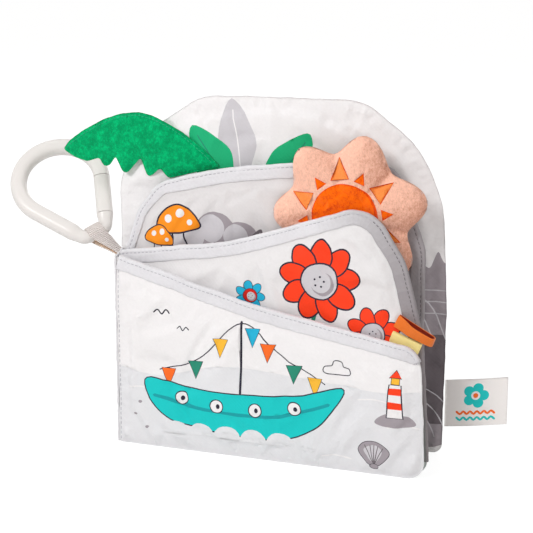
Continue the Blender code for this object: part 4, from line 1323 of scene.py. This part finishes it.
# Painted shade: the orange tab's inside faces take a deeper red-orange, for the shade inside its loop.
path, widths = tab_path(173.5, 89.4, math.radians(-25), 24.0, 7.4, 6.6, ORANGE, SECOND_FOLD, math.radians(34))
orange_tab = dress(band("orange_tab_ribbon", path, widths, TAPE, ("ribbon", "ribbon_inside_shade")), ORANGE_TAPE,
                   "second_page", "orange_ribbon", "orange_tab")
path, widths = tab_path(187.0, 73.8, math.radians(158), 17.5, 6.8, 2.8, YELLOW, SECOND_FOLD, math.radians(10))
yellow_tab = dress(band("yellow_tab_ribbon", path, widths, TAPE, ("ribbon_yellow", "ribbon_yellow")), YELLOW_TAPE,
                   "second_page", "yellow_ribbon", "yellow_tab")
print("tabs", len(orange_tab.data.polygons), len(yellow_tab.data.polygons))

# %% [markdown]
# The label is satin tape, folded once and sewn into the cover's edge by its ends. Its print is a small flower
# over two wavy lines.

# %% Fold the label
LABEL_START = Vector((195.94, 4.69, 16.5)) * MM
LABEL_BOW = ((0, 0), (0.3, 0.7), (0.6, 1), (1, 0.2))


def label_bow(share):
    curve = smooth([(s, b) for s, b in LABEL_BOW], False, 8)
    for a, b in zip(curve, curve[1:]):
        if a.x <= share <= b.x:
            return a.y + (b.y - a.y) * (share - a.x) / max(b.x - a.x, 1e-6)
    return curve[-1].y


def label_picture():
    made = [("teal", disc(18 + 4.6 * math.cos(k * 1.2566), 18.5 + 4.6 * math.sin(k * 1.2566), 3.1, count=20))
            for k in range(5)]
    made += [("white", disc(18, 18.5, 2.6, count=20)), ("orange", disc(18, 18.5, 1.5, count=16))]
    for z, ink in ((8.2, "orange"), (4.6, "teal")):
        wave = [(7 + 2 * k, z + 0.8 * (-1) ** k) for k in range(12)]
        made += [(ink, stroke(wave, 1.3, 3))]
    return made


def make_label():
    length, width, lean = 36.3, 28.5, math.radians(7)
    edge = [Vector((length * k / 24, 0)) for k in range(24)] + [Vector((length, width * k / 20)) for k in range(20)]
    edge += [Vector((length * (1 - k / 24), width)) for k in range(24)]
    edge += [Vector((0, width * (1 - k / 20))) for k in range(20)]
    made = pillow("label_satin", edge, label_picture(), "satin", Matrix.Identity(4), edge=0.25, crowns=(0.34, 0.34),
                  rise=3.0, pucker=0.02, wave=0.02, spacing=1.2, seed=57.0)
    rise = math.tan(lean)
    for v in made.data.vertices:
        share = ramp(v.co.x, 0, length * MM)
        ripple = noise.noise((v.co.x * 60, v.co.z * 25, 4.0)) * 0.0003
        shift = Vector((0, ripple * share - 0.0012 * label_bow(share), v.co.x * rise))
        v.co = LABEL_START + v.co + shift
    made.data.update()
    return made


label = dress(make_label(), SATIN, "label", "satin", "label_tag")
print("label", sizes(label))

# %% [markdown]
# ## Strap
#
# The strap is one length of ribbed webbing. It leaves its stitches at the cover's edge, turns as it rises,
# goes round the flat of the ring and comes back to the stitches against itself.

# %% Fold the strap round the ring
TIP = Vector((-18.41, 5.09, 121.5)) * MM
FOOT = Vector((-2.91, 4.69, 110.5)) * MM
RING_TURN = Matrix.Rotation(math.radians(14.2), 4, "Z") @ Matrix.Rotation(math.radians(48), 4, "X")
RING_TURN = RING_TURN @ Matrix.Rotation(math.radians(33), 4, "Z")


FOOT_WIDTH, WRAP_WIDTH, WEB_THICKNESS, HALF_GAP = 0.010, 0.0096, 0.0010, 0.0007
WRAP_RADIUS = 0.0036 + 0.0006 + 0.00055  # the flat bar, its clearance and half the webbing


def make_strap():
    flat = (RING_TURN.to_3x3() @ Vector((1, 0, 0))).normalized()
    away = FOOT - TIP
    first = (away - flat * away.dot(flat)).normalized()
    second = flat.cross(first)
    foot_wide = Vector((0, FOOT_WIDTH, 0))
    foot_across = foot_wide.cross(away).normalized()
    angles = [math.radians(a) for a in range(62, 299, 21)]
    wrap = [TIP + (first * math.cos(a) + second * math.sin(a)) * WRAP_RADIUS for a in angles]
    shares = (0, 0.22, 0.46, 0.72)
    wide = [foot_wide.lerp(flat * WRAP_WIDTH, s * s * (3 - 2 * s)) for s in shares]
    feet = [FOOT + foot_across * HALF_GAP * hand for hand in (1, -1)]
    if (feet[0] - wrap[0]).length > (feet[1] - wrap[0]).length:
        feet.reverse()
    out_ = [feet[0].lerp(wrap[0], s) for s in shares]
    back = [feet[1].lerp(wrap[-1], s) for s in shares]
    all_widths = wide + [flat * WRAP_WIDTH] * len(wrap) + wide[::-1]
    return band("strap_webbing", out_ + wrap + back[::-1], all_widths, WEB_THICKNESS, ("webbing", "webbing_inside"),
                steps=4, across=8, inside_hand=-1)


strap = dress(make_strap(), WEBBING, "strap", "webbing", "ring_strap")
print("strap", sizes(strap))

# %% [markdown]
# ## The ring
#
# The snap ring is a round bar of white plastic bent to a tear-drop. It starts as a circle, which is spun
# round each bend and extruded along the straights, as the bar itself is bent. The gate is a second bar that
# fills the gap on one side.

# %% Bend the ring's bar
BAR, FLAT_BAR, REACH, RADIUS, FLAT, CORNER = 4.5, 3.6, 43.2, 25.5, 15.0, 5.0
BAR_WIDER = 1.1


def ring_side():
    corner, spoke = Vector((FLAT / 2, 0)), Vector((-FLAT / 2, REACH))
    aim_angle = math.atan2(spoke.y, spoke.x) - math.asin(RADIUS / spoke.length)
    return corner, Vector((math.cos(aim_angle), math.sin(aim_angle))), math.sqrt(spoke.length ** 2 - RADIUS ** 2)


def start_bar(radius, place, along, name):
    """A disc of the bar's section, a little squared, stood across the way that the bar will go."""
    for item in bpy.context.selected_objects:
        item.select_set(False)
    bpy.ops.mesh.primitive_circle_add(vertices=32, radius=radius * MM, fill_type="NGON", location=(0, 0, 0))
    made = bpy.context.object
    made.name = made.data.name = name
    side, squareness = Vector((-along.y, along.x, 0)), 2.5
    for v in made.data.vertices:
        a = math.atan2(v.co.y, v.co.x)
        across, up = math.cos(a), math.sin(a)
        reach = (abs(across) ** squareness + abs(up) ** squareness) ** (-1 / squareness) * radius
        spot = Vector((place.x, place.y, 0)) + side * (across * reach * BAR_WIDER) + Vector((0, 0, up * reach))
        v.co = spot * MM
    made.data.update()
    return made


def extrude_bar(way, steps, end_share=1.0):
    for _ in range(steps):
        move = (way.x * MM / steps, way.y * MM / steps, 0)
        bpy.ops.mesh.extrude_region_move(TRANSFORM_OT_translate={"value": move})
        if end_share != 1.0:
            bpy.ops.transform.resize(value=(end_share ** (1 / steps),) * 3)


def spin_bar(centre, angle, steps):
    bpy.ops.mesh.spin(steps=steps, angle=angle, center=(centre.x * MM, centre.y * MM, 0), axis=(0, 0, 1))


def finish_bar(made, place):
    bpy.ops.mesh.select_all(action="SELECT")
    bpy.ops.mesh.remove_doubles(threshold=0.000002)
    bpy.ops.mesh.normals_make_consistent(inside=False)
    bpy.ops.object.mode_set(mode="OBJECT")
    made.data.transform(place)
    bpy.ops.object.shade_smooth_by_angle(angle=math.radians(45))
    return made


RING_PLACE = Matrix.Translation(TIP) @ RING_TURN
corner, along, length = ring_side()
out = Vector((along.y, -along.x))
gate_foot, bend = length * 0.24, math.pi / 2 + math.atan2(out.y, out.x)
pivot = Vector((corner.x - math.tan(bend / 2) * CORNER, CORNER))
reach = math.tan(bend / 2) * CORNER
print("gate starts", round(gate_foot, 1), "mm up the side, bend", round(math.degrees(bend), 1), "degrees")

# %% Model the ring's body
ring = start_bar(BAR, corner + along * gate_foot, -along, "ring_bar")
bpy.ops.object.mode_set(mode="EDIT")
bpy.ops.mesh.select_all(action="SELECT")
extrude_bar(-along * (gate_foot - reach), 4, FLAT_BAR / BAR)
spin_bar(pivot, bend, 8)
extrude_bar(Vector((-2 * pivot.x, 0)), 3)
spin_bar(Vector((-pivot.x, pivot.y)), bend, 8)
left_way = Vector((-along.x, along.y))
extrude_bar(left_way * (gate_foot - reach), 4, BAR / FLAT_BAR)
extrude_bar(left_way * (length - gate_foot), 8)
spin_bar(Vector((0, REACH)), math.tau - 2 * bend, 44)
finish_bar(ring, RING_PLACE)
dress(ring, PLASTIC, "ring", "ring_plastic", "ring_body")
print("ring", sizes(ring))

# %% Model the gate
gate = start_bar(BAR - 0.02, corner + along * (gate_foot + 0.4), along, "ring_gate_bar")
bpy.ops.object.mode_set(mode="EDIT")
bpy.ops.mesh.select_all(action="SELECT")
extrude_bar(along * (length - gate_foot - 0.8), 10)
finish_bar(gate, RING_PLACE)
dress(gate, PLASTIC, "gate", "ring_plastic", "ring_gate")
print("gate", sizes(gate))

# %% [markdown]
# ## Floor, backdrop and light
#
# The book stands on white paper. The floor glows for the camera only, so it is white without adding light,
# and its diffuse part still takes the soft shadow under the pages. Four lamps and a dim sky give an even
# studio light, and one of the lamps lights the book's back.

# %% Lay the floor and hang the lamps
def show(tree, share, lighting, seen, end):
    """Mixes what lights the scene with what is seen of it, and joins them to the tree's end."""
    mixed = node(tree, "MixShader", (share, lighting, seen)).outputs[0]
    tree.links.new(mixed, tree.nodes[end].inputs["Surface"])


def stage_material():
    made = bpy.data.materials.new("white_paper")
    made.use_nodes = True
    tree = made.node_tree
    shader = tree.nodes["Principled BSDF"]
    shader.inputs["Base Color"].default_value = (0.9, 0.9, 0.9, 1)
    shader.inputs["Roughness"].default_value = 0.9
    glow = node(tree, "Emission", {"Color": (1, 1, 1, 1), "Strength": 1.2}).outputs[0]
    share = maths(tree, "MULTIPLY", node(tree, "LightPath").outputs["Is Camera Ray"], 0.75)
    show(tree, share, shader.outputs[0], glow, "Material Output")
    return made


floor_mesh = bpy.data.meshes.new("floor")
floor_mesh.from_pydata([(-4, -3, 0), (4, -3, 0), (4, 5, 0), (-4, 5, 0)], [], [(0, 1, 2, 3)])
floor = new_object("floor", floor_mesh)
floor.data.materials.append(stage_material())
LAMP_AIM = (0.08, 0, 0.1)


def lamp(name, place, size, power, colour=(1, 1, 1)):
    data = bpy.data.lights.new(name, "AREA")
    data.shape, data.size, data.energy, data.color = "SQUARE", size, power, colour
    made = new_object(name, data)
    made.location = place
    look_along(made, Vector(LAMP_AIM) - Vector(place))


lamp("key_lamp", (-0.56, -1.16, 1.15), 0.5, 13.4)
lamp("fill_lamp", (0.9, -1.45, 0.40), 1.0, 4.4, (1, 0.96, 0.93))
lamp("top_lamp", (0.0, 0.1, 1.4), 0.7, 3)
lamp("back_lamp", (0.35, 1.7, 0.8), 1.1, 9)

world = bpy.data.worlds.new("studio")
bpy.context.scene.world = world
world.use_nodes = True
tree = world.node_tree
background = tree.nodes["Background"]
background.inputs["Color"].default_value = (1.0, 0.965, 0.94, 1)
background.inputs["Strength"].default_value = 0.38
white = node(tree, "Background", {"Color": (1, 1, 1, 1)}).outputs[0]
rays = node(tree, "LightPath").outputs
seen = maths(tree, "MAXIMUM", rays["Is Camera Ray"], rays["Is Glossy Ray"])
show(tree, seen, background.outputs[0], white, "World Output")
bpy.context.scene.view_settings.view_transform = "Standard"
